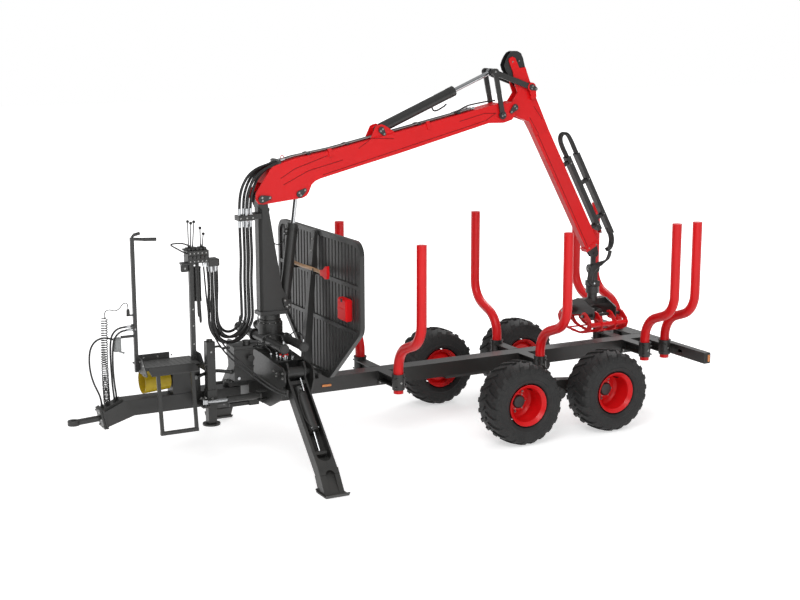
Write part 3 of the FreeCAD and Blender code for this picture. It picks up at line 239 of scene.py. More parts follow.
mats = {
    "red_paint": painted("red_paint", (0.79, 0.006, 0.009), 0.36, 0.05, 0.36, 0.05),
    "dark_paint": painted("dark_paint", (0.02, 0.02, 0.019), 0.42, 0.1),
    # The seam ridges are a darker copy of the red paint. This is painted shade along them, not another paint.
    "red_seam_painted_shade": painted("red_seam_painted_shade", (0.3, 0.004, 0.006), 0.4, 0.05, 0.3, 0.0),
    # The chequered deck's tread plate is a lighter grey than the dark paint. The lighter grey is a painted sheen,
    # standing in for the light its top reflects.
    "tread_plate_painted_sheen": painted("tread_plate_painted_sheen", (0.075, 0.075, 0.073), 0.4, 0.1),
    "tyre": rubber("tyre", (0.017, 0.017, 0.017), 0.66, 0.1),
    "chrome": bare_metal("chrome", (0.44, 0.45, 0.46), 0.11, 90.0),
    "steel": bare_metal("steel", (0.4, 0.4, 0.39), 0.34, 160.0),
    "black_plastic": plastic("black_plastic", (0.014, 0.014, 0.014), 0.45),
    "grey_plastic": plastic("grey_plastic", (0.3, 0.31, 0.31), 0.5),
    "yellow_plastic": plastic("yellow_plastic", (0.62, 0.44, 0.01), 0.42),
    "orange_lens": plastic("orange_lens", (0.8, 0.26, 0.03), 0.2, 300.0, 0.8),
    "hose": rubber("hose", (0.012, 0.012, 0.012), 0.42, 0.05),
    "wood": wood("wood"),
}


def dress(obj, name):
    obj.data.materials.clear()
    obj.data.materials.append(mats[name])


for part in frame["record"]["subparts"]:
    if part["node"] in nodes:
        dress(nodes[part["node"]], part["material_slot"])


joints = {joint["name"]: joint for joint in frame["joints"]}


def frame_joint(name):
    """Where a joint's axis stands at rest."""
    return joints[name]["pos_m"]


# ---------------------------------------------------------------- building blocks

collection = bpy.context.scene.collection
SIDES = (-1, 1)
UP = Vector((0, 0, 1))


def frame_along(direction):
    """A turn that takes the Z axis onto a direction."""
    return Vector(direction).normalized().to_track_quat("Z", "Y").to_matrix().to_4x4()


def around(a, b, angle):
    """The direction at an angle from a towards b."""
    return a * math.cos(angle) + b * math.sin(angle)


class Piece:
    """Plain solids gathered into one mesh of one material, which rides on one body."""

    def __init__(self, name, body, material):
        self.name, self.body, self.material = name, body, material
        self.bm = bmesh.new()

    def skin(self, rings, closed=False):
        """Faces between rings of corners. The ends are capped, or joined to each other when it is closed."""
        rings = [[self.bm.verts.new(corner) for corner in ring] for ring in rings]
        count = len(rings[0])
        for here, there in zip(rings, rings[1:] + rings[:1] if closed else rings[1:]):
            for k in range(count):
                self.bm.faces.new((here[k], here[(k + 1) % count], there[(k + 1) % count], there[k]))
        if not closed:
            self.bm.faces.new(rings[0][::-1])
            self.bm.faces.new(rings[-1])
        return self

    def rod(self, a, b, radius, end_radius=None, sides=20):
        a, b = Vector(a), Vector(b)
        place = Matrix.Translation((a + b) / 2) @ frame_along(b - a)
        bmesh.ops.create_cone(
            self.bm, cap_ends=True, segments=sides, radius1=radius,
            radius2=radius if end_radius is None else end_radius, depth=(b - a).length, matrix=place)
        return self

    def post(self, foot, height, radius, end_radius=None, sides=20):
        """An upright rod."""
        return self.rod(foot, Vector(foot) + UP * height, radius, end_radius, sides)

    def hexagon(self, a, b, radius):
        return self.rod(a, b, radius, sides=6)

    def chain(self, points, radius, sides):
        """Straight rods from point to point."""
        for a, b in zip(points, points[1:]):
            self.rod(a, b, radius, sides=sides)
        return self

    def ball(self, at, radius, sides=16):
        bmesh.ops.create_uvsphere(self.bm, u_segments=sides, v_segments=sides // 2, radius=radius,
                                  matrix=Matrix.Translation(Vector(at)))
        return self

    def block(self, corner, other, bevel=0.0):
        size = [abs(b - a) for a, b in zip(corner, other)]
        place = Matrix.Translation((Vector(corner) + Vector(other)) / 2) @ Matrix.Diagonal((*size, 1.0))
        made = bmesh.ops.create_cube(self.bm, size=1.0, matrix=place)
        if bevel:
            edges = {edge for vert in made["verts"] for edge in vert.link_edges}
            bmesh.ops.bevel(self.bm, geom=list(edges), offset=bevel, segments=2, affect="EDGES")
        return self

    def slab(self, outline, rise):
        """A flat outline of points, pushed along a vector."""
        return self.skin([outline, [Vector(p) + Vector(rise) for p in outline]])

    def bolt(self, at, out, size):
        """A washer with a hexagon head and the thread's end."""
        at, out = Vector(at), Vector(out).normalized()
        self.rod(at, at + out * size * 0.25, size * 1.05, sides=20)
        self.hexagon(at + out * size * 0.25, at + out * size, size * 0.82)
        self.rod(at + out * size, at + out * size * 1.25, size * 0.42, sides=10)
        return self

    def row(self, spots, out, size):
        """Bolts at several places."""
        for spot in spots:
            self.bolt(spot, out, size)
        return self

    def ring(self, at, out, radius, count, size, start=0.0):
        """Bolts in a circle."""
        turn = frame_along(out)
        for i in range(count):
            angle = start + math.tau * i / count
            spot = Vector(at) + turn @ Vector((radius * math.cos(angle), radius * math.sin(angle), 0.0))
            self.bolt(spot, out, size)
        return self

    def lathe(self, profile, at, axis, sides):
        """A closed outline of (radius, distance) spun round an axis."""
        turn = Matrix.Translation(Vector(at)) @ frame_along(axis)
        rings = []
        for angle in [math.tau * i / sides for i in range(sides)]:
            rings.append([turn @ Vector((r * math.cos(angle), r * math.sin(angle), d)) for r, d in profile])
        return self.skin(rings, closed=True)

    def band(self, at, axis, inner, outer, half, crown, sides):
        """A ring round a bar: half its width at the foot, and crown on its outer face."""
        return self.lathe([(inner, -half), (outer, -crown), (outer, crown), (inner, half)], at, axis, sides)

    def tube(self, line, radius, sides):
        """A round tube along a line of points."""
        line = [Vector(p) for p in line]
        up = None
        rings = []
        for i, here in enumerate(line):
            ahead = (line[min(i + 1, len(line) - 1)] - line[max(i - 1, 0)]).normalized()
            if up is None:
                up = ahead.orthogonal().normalized()
            up = (up - ahead * up.dot(ahead)).normalized()
            side = ahead.cross(up)
            rings.append([here + around(up, side, math.tau * k / sides) * radius for k in range(sides)])
        return self.skin(rings)

    def pipe(self, points, radius):
        """A bent pipe: a tube on the smooth line through a route."""
        return self.tube(centreline(points, 6), radius, 10)

    def done(self, sharp=32.0):
        bmesh.ops.recalc_face_normals(self.bm, faces=self.bm.faces)
        mesh = bpy.data.meshes.new(self.name)
        self.bm.to_mesh(mesh)
        self.bm.free()
        for face in mesh.polygons:
            face.use_smooth = True
        mesh.set_sharp_from_angle(angle=math.radians(sharp))
        obj = bpy.data.objects.new(self.name, mesh)
        collection.objects.link(obj)
        obj.data.materials.append(mats[self.material])
        if self.body:
            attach(obj, self.body)
        return obj


def pieces(body, **materials):
    """Several new pieces that ride on one body, each named with its material."""
    return [Piece(name, body, material) for name, material in materials.items()]


def finish(*made):
    for piece in made:
        piece.done()


def both(make):
    """The same thing on the left and on the right."""
    for side in SIDES:
        make(side)


def places(put, *spots):
    """The places that a part's own measure gives for several spots."""
    return [put(*spot) for spot in spots]


def centreline(points, fine=12):
    """The smooth line of a route: a NURBS curve whose control points are the route's points."""
    data = bpy.data.curves.new("route", "CURVE")
    data.dimensions = "3D"
    data.resolution_u = fine
    line = data.splines.new("NURBS")
    line.points.add(len(points) - 1)
    for control, point in zip(line.points, points):
        control.co = (*point, 1.0)
    line.order_u = 3
    line.use_endpoint_u = True
    holder = bpy.data.objects.new("route", data)
    mesh = bpy.data.meshes.new_from_object(holder)
    found = [vert.co.copy() for vert in mesh.vertices]
    bpy.data.objects.remove(holder)
    bpy.data.curves.remove(data)
    bpy.data.meshes.remove(mesh)
    return found


def run_length(line):
    return sum((b - a).length for a, b in zip(line, line[1:]))


# ---------------------------------------------------------------- hoses and cords

MAIN_HOSE_R, FRONT_HOSE_R, SUCTION_HOSE_R, LEG_HOSE_R, LIFT_HOSE_R = 0.014, 0.009, 0.017, 0.008, 0.006
MAIN_PITCH, MAIN_ROW = 0.054, 0.044
MAIN_OUTLET = Vector((-2.13, -0.314, 2.05))
MAIN_CLAMP = Vector((-1.63, -0.1, 2.44))
MAIN_LOW_Z, MAIN_SPLIT_Z = 1.252, 1.5
CLAMP_TOP = 2.49
BOOM_ROOT = Vector((-1.47, 0.0, 2.63))
BOOM_ANGLE = math.radians(15.5)
STICK_ROOT = Vector(frame_joint("stick_swing"))
STICK_ANGLE = math.radians(-61.7)


def on_boom(u, y, w):
    """A place on the boom: u along it from the root pin, w above the line of its pins."""
    c, s = math.cos(BOOM_ANGLE), math.sin(BOOM_ANGLE)
    return BOOM_ROOT + Vector((u * c - w * s, y, u * s + w * c))


def on_stick(s, y, n):
    """A place on the stick: s down it from the boom's tip pin, n out from the boom."""
    c, d = math.cos(STICK_ANGLE), math.sin(STICK_ANGLE)
    return STICK_ROOT + Vector((s * c - n * d, y, s * d + n * c))


def hose(name, points, radius, bend=None, sides=12):
    """A hose on its route, riding on the drawbar; when bend is given it rides on no body, and the bodies and
    places in bend are not used.
    """
    line = centreline(points)
    piece = Piece(name, None if bend else "drawbar", "hose").tube(line, radius, sides).done()
    if bend:
        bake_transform(piece)
    return piece


def main_hose(nest, row):
    """One of the five main hoses, in three lengths: valve to split, up the column, round the boom's root."""
    flat = MAIN_CLAMP - MAIN_OUTLET
    flat.z = 0.0
    along = flat.normalized() * nest * MAIN_PITCH
    across = Vector((flat.y, -flat.x, 0.0)).normalized() * row * MAIN_ROW
    outlet, clamp = MAIN_OUTLET + along + across, MAIN_CLAMP - along + across
    half = (clamp.xy - outlet.xy).length / 2
    low = MAIN_LOW_Z + nest * MAIN_PITCH + row * 0.008
    shoulder = low + 0.586 * half
    drop = (MAIN_OUTLET.z - shoulder) / 3
    sway = (0.005, -0.004, 0.006)[nest]

    def at(share, z):
        spot = outlet.lerp(clamp, share)
        return spot.x, spot.y, z
    x, y = outlet.xy
    loop = [
        (x, y, MAIN_OUTLET.z), (x + sway, y - sway, MAIN_OUTLET.z - drop),
        (x - sway, y + sway, shoulder + drop), at(0, shoulder), at(0.293, low), at(0.707, low),
        at(1, shoulder), at(1, MAIN_SPLIT_Z)]
    x, y = clamp.xy
    sway = (0.007, 0.004, 0.006)[nest]
    rise = [
        (x, y, MAIN_SPLIT_Z), (x, y, MAIN_SPLIT_Z + 0.13), (x - sway, y + 0.003, 1.84),
        (x + sway, y - 0.002, 2.07), (x, y, 2.29), (x, y, MAIN_CLAMP.z)]
    end_y = (0.068, 0.033, -0.037, -0.002, -0.072)[nest + 3 * row]
    outer = [(0, CLAMP_TOP), (0, 2.65), (0.05, 2.8), (0.15, 2.905), (0.304, 2.962)]
    inner = [(0, CLAMP_TOP), (0, 2.615), (0.036, 2.735), (0.105, 2.84), (0.215, 2.922)]
    near = 1 - nest / 2.0
    root = []
    for a, b, share in zip(outer, inner, (0, 0, 0.12, 0.45, 0.8)):
        out, high = [p * (1 - near) + q * near for p, q in zip(a, b)]
        root.append((x + out, y + (end_y - y) * share, high))
    root.append(tuple(on_boom(0.3, end_y, 0.29)))
    return loop, rise, root, clamp


main_routes = [main_hose(nest, row) for nest, row in ((0, 0), (1, 0), (2, 0), (0, 1), (1, 1))]
for number, (loop, rise, root, _) in enumerate(main_routes, 1):
    runs = (
        ("valve", loop, ("drawbar", "chassis", (*loop[2][:2], 0.0), (*loop[-1][:2], 0.0))),
        ("column", rise, ("chassis", "column", (0.0, 0.0, 1.5), (0.0, 0.0, 2.35))),
        ("boom", root, ("column", "boom", (-1.68, 0.0, 2.62), tuple(on_boom(0.24, 0.0, 0.26)))))
    for word, points, bend in runs:
        piece = hose(f"{word}_hose_{number}", points, MAIN_HOSE_R, bend=bend)
        if number == 1:
            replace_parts(piece, f"{word}_hoses")

FRONT_ROUTES = [
    [(-2.905, -0.3, 1.53), (-2.975, -0.302, 1.534), (-3.05, -0.304, 1.52), (-3.1, -0.302, 1.462),
     (-3.112, -0.292, 1.37), (-3.106, -0.262, 1.24), (-3.088, -0.21, 1.09), (-3.06, -0.13, 0.93),
     (-3.028, -0.05, 0.815), (-3.015, -0.02, 0.746)],
    [(-2.905, -0.335, 1.508), (-2.97, -0.338, 1.51), (-3.035, -0.342, 1.496), (-3.084, -0.342, 1.445),
     (-3.1, -0.335, 1.36), (-3.1, -0.312, 1.235), (-3.08, -0.245, 1.08), (-3.04, -0.14, 0.925),
     (-2.998, -0.03, 0.815), (-2.985, 0.015, 0.758)],
    [(-3.05, -0.278, 1.4), (-3.062, -0.248, 1.408), (-3.105, -0.232, 1.424), (-3.17, -0.23, 1.434),
     (-3.242, -0.234, 1.41), (-3.29, -0.232, 1.338), (-3.302, -0.225, 1.225), (-3.288, -0.205, 1.1),
     (-3.25, -0.165, 0.985), (-3.195, -0.095, 0.885), (-3.146, -0.015, 0.79), (-3.13, 0.015, 0.698)],
]
fronts = [hose(f"front_hose_{i}", points, FRONT_HOSE_R)
          for i, points in enumerate(FRONT_ROUTES, 1)]
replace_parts(fronts[0], "front_hoses")

SUCTION_ROUTE = [
    (-2.204, -0.118, 0.916), (-2.12, -0.12, 0.945), (-2.03, -0.13, 0.962), (-1.952, -0.165, 0.958),
    (-1.89, -0.2, 0.947)]
suction = hose("suction_hose_run", SUCTION_ROUTE, SUCTION_HOSE_R, bend=(
    "drawbar", "chassis", (-2.045, 0.0, 0.0), (-1.895, 0.0, 0.0)), sides=16)
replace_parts(suction, "suction_hose")

LEG_ROUTES = [
    [(-2.16, -0.352, 2.092), (-2.152, -0.358, 1.98), (-2.146, -0.364, 1.76), (-2.128, -0.372, 1.56),
     (-2.084, -0.384, 1.38), (-1.996, -0.412, 1.232), (-1.9, -0.48, 1.12), (-1.8, -0.59, 1.02),
     (-1.71, -0.71, 0.93), (-1.63, -0.79, 0.872), (-1.577, -0.806, 0.85)],
    [(-2.19, -0.352, 2.092), (-2.186, -0.36, 1.975), (-2.176, -0.372, 1.75), (-2.16, -0.386, 1.545),
     (-2.118, -0.402, 1.362), (-2.026, -0.434, 1.206), (-1.922, -0.504, 1.092), (-1.812, -0.614, 0.986),
     (-1.716, -0.73, 0.896), (-1.634, -0.804, 0.842), (-1.577, -0.818, 0.822)],
]
leg_runs = [hose(f"leg_hose_{i}", points, LEG_HOSE_R, bend=(
    "drawbar", "chassis", (-2.13, -0.38, 1.5), (-1.64, -0.79, 0.88)))
    for i, points in enumerate(LEG_ROUTES, 1)]
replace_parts(leg_runs[0], "leg_hoses")

LIFT_HOSE_ROUTE = [
    (-1.368, 0, 2.496), (-1.368, 0, 2.4), (-1.354, 0, 2.3), (-1.338, 0, 2.192), (-1.294, 0, 2.15),
    (-1.236, 0, 2.15), (-1.194, 0, 2.192), (-1.194, 0, 2.29)]
lift_run = hose("lift_hose_run", LIFT_HOSE_ROUTE, LIFT_HOSE_R, bend=(
    "column", "lift_barrel", (-1.34, 0.0, 0.0), (-1.2, 0.0, 0.0)))
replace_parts(lift_run, "lift_hose")

COIL_ROUTE = [
    (-3.16, -0.3, 1.65), (-3.168, -0.298, 1.45), (-3.168, -0.28, 1.25), (-3.156, -0.235, 1.07),
    (-3.13, -0.15, 0.91), (-3.098, -0.05, 0.8), (-3.082, 0.01, 0.718)]
LEAD_ROUTE = [
    (-3.16, -0.3, 1.65), (-3.156, -0.3, 1.7), (-3.108, -0.3, 1.714), (-3.058, -0.3, 1.69),
    (-3.01, -0.3, 1.712), (-2.98, -0.3, 1.756), (-2.938, -0.3, 1.764), (-2.93, -0.3, 1.724),
    (-2.93, -0.3, 1.7)]
COIL_R, LEAD_R, COIL_TURNS, TURN_POINTS = 0.029, 0.0045, 44, 14


def curly_cord():
    """The lead from the plug, and then the curly cord's turns round its own route."""
    spine = centreline(COIL_ROUTE, 24)
    total = run_length(spine)
    path = centreline(LEAD_ROUTE)[::-1][:-1]
    up = Vector((0.0, 1.0, 0.0))
    marks = [0.0]
    for a, b in zip(spine, spine[1:]):
        marks.append(marks[-1] + (b - a).length)
    steps = COIL_TURNS * TURN_POINTS
    k = 0
    for i in range(steps + 1):
        gone = total * i / steps
        while k < len(spine) - 2 and marks[k + 1] < gone:
            k += 1
        share = (gone - marks[k]) / (marks[k + 1] - marks[k])
        here = spine[k].lerp(spine[k + 1], share)
        ahead = (spine[k + 1] - spine[k]).normalized()
        up = (up - ahead * up.dot(ahead)).normalized()
        side = ahead.cross(up)
        angle = math.tau * i / TURN_POINTS
        ends = min(1.0, i / TURN_POINTS, (steps - i) / TURN_POINTS)
        reach = COIL_R * ends * (1.0 + 0.04 * math.sin(angle * 0.37))
        path.append(here + around(up, side, angle) * reach)
    piece = Piece("curly_cord", "drawbar", "hose").tube(path, LEAD_R, 8).done()
    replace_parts(piece, "coil_lead")


curly_cord()


# ---------------------------------------------------------------- wheels

LUGS = 22
TREAD = [(0.0, 0.437), (0.04, 0.437), (0.136, 0.43), (0.172, 0.412), (0.192, 0.374)]
CARCASS = [
    (0.23, 0.15), (0.238, 0.171), (0.246, 0.181), (0.262, 0.188), (0.272, 0.196), (0.28, 0.1965),
    (0.286, 0.193), (0.31, 0.1955), (0.34, 0.193), (0.346, 0.189), (0.356, 0.1885), (0.38, 0.18),
    (0.396, 0.168), (0.41, 0.138), (0.418, 0.09), (0.42, 0.0)]
LUG_SHAPE = ((0.0, 0.013), (0.25, 0.015), (0.55, 0.019), (0.8, 0.024), (1.0, 0.026))
LUG_SWEEP, LUG_FOOT_R, LUG_DEPTH = 0.21, 0.424, 0.03
HUB_CAP = [(0.0005, -0.036), (0.072, -0.036), (0.07, -0.016), (0.06, -0.006), (0.0005, -0.002)]
VALVE_ANGLE = 0.7


def tread_top(y):
    """The radius of the lugs' tops at a distance from the tyre's middle."""
    y = abs(y)
    for (a, ra), (b, rb) in zip(TREAD, TREAD[1:]):
        if y <= b:
            return ra + (rb - ra) * (y - a) / (b - a)
    return TREAD[-1][1]


def lug(row, start):
    """One lug's sections, middle to shoulder: its top and foot (radius, angle, half width) and its y."""
    sections = []
    for share, wide in LUG_SHAPE:
        y = row * (0.004 + share * 0.178)
        middle = start + LUG_SWEEP * share ** 0.8
        top = tread_top(y)
        sections.append(((top, middle, wide), (min(top, LUG_FOOT_R) - LUG_DEPTH, middle, wide + 0.005), y))
    sections.append(((0.366, start + 0.218, 0.02), (0.345, start + 0.218, 0.024), row * 0.1895))
    return sections


def wheel(word, end, side):
    """A tyre with its lugs and rings, and the rim's bolts, cap and valve."""
    node = f"tyre_{word}_{end}"
    low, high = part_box(node)
    centre = (Vector(low) + Vector(high)) / 2
    body = f"wheel_{word}_{end}"
    out = Vector((0.0, side, 0.0))

    def at(radius, angle, off):
        return centre + Vector((radius * math.cos(angle), side * off, radius * math.sin(angle)))

    tyre = Piece(f"tyre_tread_{word}_{end}", body, "tyre")
    inside = [(0.226, -0.12), (0.226, 0.12)]
    tyre.lathe(CARCASS + [(r, -d) for r, d in CARCASS[-2::-1]] + inside, centre, out, 96)
    pitch = math.tau / LUGS
    for row in SIDES:
        for i in range(LUGS):
            start = pitch * (i + (0.5 if row > 0 else 0.0))
            rings = []
            for (top, angle, wide), (foot, _, wide_foot), y in lug(row, start):
                rings.append(places(at, (foot, angle - wide_foot / foot, y), (top, angle - wide / top, y),
                                    (top, angle + wide / top, y), (foot, angle + wide_foot / foot, y)))
            tyre.skin(rings)
    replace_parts(tyre.done(28.0), node)

    dark = Piece(f"rim_hub_{word}_{end}", body, "dark_paint")
    dark.lathe(HUB_CAP, centre, out, 40)
    dark.rod(at(0.172, VALVE_ANGLE, -0.06), at(0.18, VALVE_ANGLE, 0.02), 0.005, sides=8)
    nuts = Piece(f"rim_nuts_{word}_{end}", body, "steel")
    nuts.ring(centre - out * 0.094, out, 0.122, 8, 0.013)
    nuts.ring(centre - out * 0.03, out, 0.083, 6, 0.007)
    finish(dark, nuts)


# ---------------------------------------------------------------- small parts

KEEPER_THICK = 0.008


def keeper(plates, bolts, centre, tail, out, radius=0.036, length=0.085):
    """The keeper plate that locks a pin: a disc with a tail on the pin's end, and its three bolts."""
    centre, out, tail = Vector(centre), Vector(out).normalized(), Vector(tail).normalized()
    side = out.cross(tail)
    outline = [centre + around(tail, side, math.pi / 2 + math.pi * i / 8) * radius for i in range(9)]
    for reach, half in ((length - 0.014, -0.018), (length, -0.008), (length, 0.008), (length - 0.014, 0.018)):
        outline.append(centre + tail * reach + side * half)
    plates.slab(outline, out * KEEPER_THICK)
    spots = (tail * (length - 0.02), side * 0.015, side * -0.015)
    bolts.row([centre + spot + out * KEEPER_THICK for spot in spots], out, 0.0095)


BEAM_SIDE_Y, SLEEVE_Y, STAKE_Y = 0.106, 0.45, 0.95
STAKE_TOP, PLUG_RISE = 2.176, 0.01
BUNK_X = (-0.14, 1.6, 3.01, 3.29)
AXLE_X, AXLE_Z = 1.6, 0.447
BRACE_X, BRACE_TOP, BRACE_LEAN = -0.88, 2.262, 0.1083


def frame_details():
    """The chassis's bolts, the stakes' collars and plugs, and the axle's caps."""
    bolts, dark, plugs, caps = pieces(
        "chassis", frame_bolts="steel", frame_fittings="dark_paint", stake_plugs="black_plastic",
        axle_caps="dark_paint")
    tail_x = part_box("tail_bar")[0][0] + 0.05
    for side in SIDES:
        out = (0, side, 0)
        for x in BUNK_X:
            feet = [(x + dx, side * BEAM_SIDE_Y, z) for dx in (-0.04, 0.04) for z in (0.61, 0.628)]
            bolts.row(feet, out, 0.008).bolt((x, side * (SLEEVE_Y + 0.064), 0.69), out, 0.01)
            plugs.post((x, side * STAKE_Y, STAKE_TOP), PLUG_RISE, 0.046, 0.043)
            dark.band((x, side * SLEEVE_Y, 0.772), UP, 0.0675, 0.071, 0.008, 0.008, 32)
        bolts.row([(tail_x, side * y, 0.722) for y in (0.14, 0.3)], UP, 0.01)
        bolts.ring((AXLE_X, side * 0.57, AXLE_Z), out, 0.058, 6, 0.01)
        caps.rod((AXLE_X, side * 0.872, AXLE_Z), (AXLE_X, side * 0.88, AXLE_Z), 0.06, 0.052, 32)
    brace = [(BRACE_X - (BRACE_TOP - z) * BRACE_LEAN, 0, z) for z in (0.9, 1.02, 2.06, 2.18)]
    bolts.row(brace, (-1, 0, BRACE_LEAN), 0.009)
    finish(bolts, dark, plugs, caps)


def lamp_details():
    """The orange lenses on their dark bases, on the tail bar's ends and on the beam's sides."""
    lens, base = pieces("chassis", lamp_lenses="orange_lens", lamp_bases="dark_paint")
    for side in SIDES:
        base.block((3.416, side * 1.03, 0.61), (3.4745, side * 1.036, 0.712))
        lens.block((3.436, side * 1.034, 0.622), (3.464, side * 1.0415, 0.7), 0.002)
        base.block((-0.854, side * 0.0945, 0.636), (-0.736, side * 0.098, 0.669), 0.001)
        lens.block((-0.848, side * 0.0965, 0.641), (-0.742, side * 0.1055, 0.664), 0.003)
    base.done()
    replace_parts(lens.done(), "lamps")


AXE_X = -0.938
AXE_HANDLE = (
    (0.468, 1.882), (0.4, 1.892), (0.2, 1.882), (0.0, 1.888), (-0.15, 1.89), (-0.32, 1.884))
AXE_HEAD = (
    (-0.312, 1.858), (-0.312, 1.912), (-0.372, 1.918), (-0.44, 1.966), (-0.474, 1.972), (-0.481, 1.905),
    (-0.47, 1.842), (-0.432, 1.836), (-0.372, 1.856))


def tools_details():
    """The axe with its ash handle and red head, the red case, and the clips that hold them."""
    handle = Piece("axe_handle", "chassis", "wood")
    handle.tube(centreline([(AXE_X, y, z) for y, z in AXE_HANDLE]), 0.0185, 14)
    handle.ball((AXE_X, 0.452, 1.884), 0.0215)
    axe = Piece("axe_head", "chassis", "red_paint")
    axe.slab([(AXE_X - 0.015, y, z) for y, z in AXE_HEAD], (0.03, 0, 0))
    case = Piece("tool_case", "chassis", "red_paint")
    case.block((-0.902, -0.806, 1.462), (-0.828, -0.604, 1.684), 0.012)
    case.block((-0.905, -0.795, 1.56), (-0.9, -0.615, 1.588), 0.001)
    clips = Piece("tool_clips", "chassis", "black_plastic")
    for y in (0.32, -0.16):
        clips.block((AXE_X - 0.024, y - 0.008, 1.84), (-0.842, y + 0.008, 1.864), 0.002)
        clips.block((AXE_X - 0.026, y - 0.008, 1.84), (AXE_X - 0.02, y + 0.008, 1.908), 0.002)
    clips.block((-0.906, -0.725, 1.65), (-0.9, -0.685, 1.684), 0.002)
    finish(axe, case, clips)
    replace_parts(handle.done(), "hand_tools")


SLEW_X, RACK_Z, RACK_SHIFTS, UNION_Z = -1.37, 1.215, (-0.105, 0.105), 1.082
EAR_X = (-1.577, -1.213)
LEG_PIN_Y, LEG_PIN_Z = 0.66, 0.985
CAPPED_UNIONS = (
    (-1.46, -0.47, 0.03), (-1.425, -0.512, 0.038), (-1.392, -0.478, 0.026), (-1.44, -0.505, 0.02))
OPEN_UNIONS = (
    (-1.36, -0.52, 0.034), (-1.33, -0.48, 0.026), (-1.48, -0.43, 0.032), (-1.5, -0.33, 0.03),
    (-1.46, -0.38, 0.045), (-1.42, -0.345, 0.03), (-1.48, -0.29, 0.04), (-1.4, -0.41, 0.03))
BASE_PIPES = [
    [(-1.5, -0.33, 1.118), (-1.505, -0.31, 1.16), (-1.56, -0.25, 1.19), (-1.64, -0.19, 1.18),
     (-1.69, -0.16, 1.15), (-1.72, -0.15, 1.08)],
    [(-1.46, -0.38, 1.13), (-1.47, -0.37, 1.18), (-1.55, -0.31, 1.22), (-1.65, -0.24, 1.23),
     (-1.7, -0.2, 1.214)],
    [(-1.36, -0.52, 1.125), (-1.362, -0.53, 1.16), (-1.4, -0.52, 1.175), (-1.45, -0.48, 1.16),
     (-1.48, -0.43, 1.12)],
    [(-1.33, -0.48, 1.115), (-1.332, -0.47, 1.15), (-1.37, -0.43, 1.16), (-1.41, -0.39, 1.14),
     (-1.4, -0.41, 1.12)],
]


def rack_details(bolts, dark, ports, lines, shift, side):
    """One end of a slewing rack's cylinder: flange bolts, cap, port and the pipe back to the drum."""
    def rack(y, along=0.0, z=0.0):
        return SLEW_X + shift + along, side * y, RACK_Z + z
    bolts.ring(rack(0.185), (0, side, 0), 0.051, 6, 0.006)
    dark.rod(rack(0.612), rack(0.618), 0.044, 0.04, 32)
    ports.rod(rack(0.59, 0, 0.044), rack(0.59, 0, 0.076), 0.01)
    near, end = (-0.06, -0.07) if shift < 0 else (0.02, 0.02)
    route = places(rack, (0.59, 0, 0.074), (0.575, 0, 0.13), (0.46, -0.03, 0.125), (0.33, near, 0.105),
                   (0.21, end, 0.04))
    lines.pipe(route, 0.006)


TANK_FACE_Y, STRAP_Z = -0.3, (1.0, 1.17)


def tank_details(dark, ports):
    """The oil tank's filler, sight glass, straps and drain plug."""
    dark.post((-1.73, -0.245, 1.214), 0.036, 0.036, sides=28)
    dark.post((-1.73, -0.245, 1.25), 0.012, 0.042, sides=28)
    dark.rod((-1.72, TANK_FACE_Y, 1.1), (-1.72, TANK_FACE_Y - 0.045, 1.1), 0.03, sides=24)
    dark.rod((-1.72, TANK_FACE_Y - 0.045, 1.1), (-1.72, TANK_FACE_Y - 0.052, 1.1), 0.034, sides=24)
    for z in STRAP_Z:
        dark.block((-1.886, TANK_FACE_Y - 0.006, z), (-1.674, TANK_FACE_Y, z + 0.016), 0.002)
    ports.hexagon((-1.84, TANK_FACE_Y, 0.9), (-1.84, TANK_FACE_Y - 0.018, 0.9), 0.016)


def crane_base_details():
    """The slewing gear's bolts and racks, the leg pins' keepers, the tank, the unions and short pipes."""
    bolts, dark, ports, lines, red = pieces(
        "chassis", crane_base_bolts="steel", crane_base_fittings="dark_paint", crane_base_ports="chrome",
        crane_base_pipes="hose", crane_base_caps="red_paint")
    bolts.ring((SLEW_X, 0, 1.127), UP, 0.139, 14, 0.009)
    bolts.ring((SLEW_X, 0, 1.37), UP, 0.119, 12, 0.006, 0.1)
    for side in SIDES:
        for shift in RACK_SHIFTS:
            rack_details(bolts, dark, ports, lines, shift, side)
        bolts.row([(EAR_X[0] + 0.022, side * 0.745, z) for z in (1.01, 0.96)], (-1, 0, 0), 0.012)
        for x, face in zip(EAR_X, SIDES):
            pin = (x, side * LEG_PIN_Y, LEG_PIN_Z)
            keeper(dark, bolts, pin, (0, -side, 0.35), (face, 0, 0), 0.04, 0.095)
    for x, y, height in CAPPED_UNIONS:
        red.post((x, y, UNION_Z + height + 0.012), 0.018, 0.013, 0.01)
    for x, y, height in CAPPED_UNIONS + OPEN_UNIONS:
        ports.post((x, y, UNION_Z), height, 0.011)
        ports.post((x, y, UNION_Z + height), 0.012, 0.015, sides=6)
    tank_details(dark, ports)
    for route, radius in zip(BASE_PIPES, (0.007, 0.007, 0.007, 0.006)):
        lines.pipe(route, radius)
    finish(bolts, dark, ports, lines, red)


LEG_X, LEG_TOP_Y = -1.386, 0.578
LEG_ALONG, LEG_ACROSS = 0.7022, 0.712
LEG_CYLINDER_N = 0.014


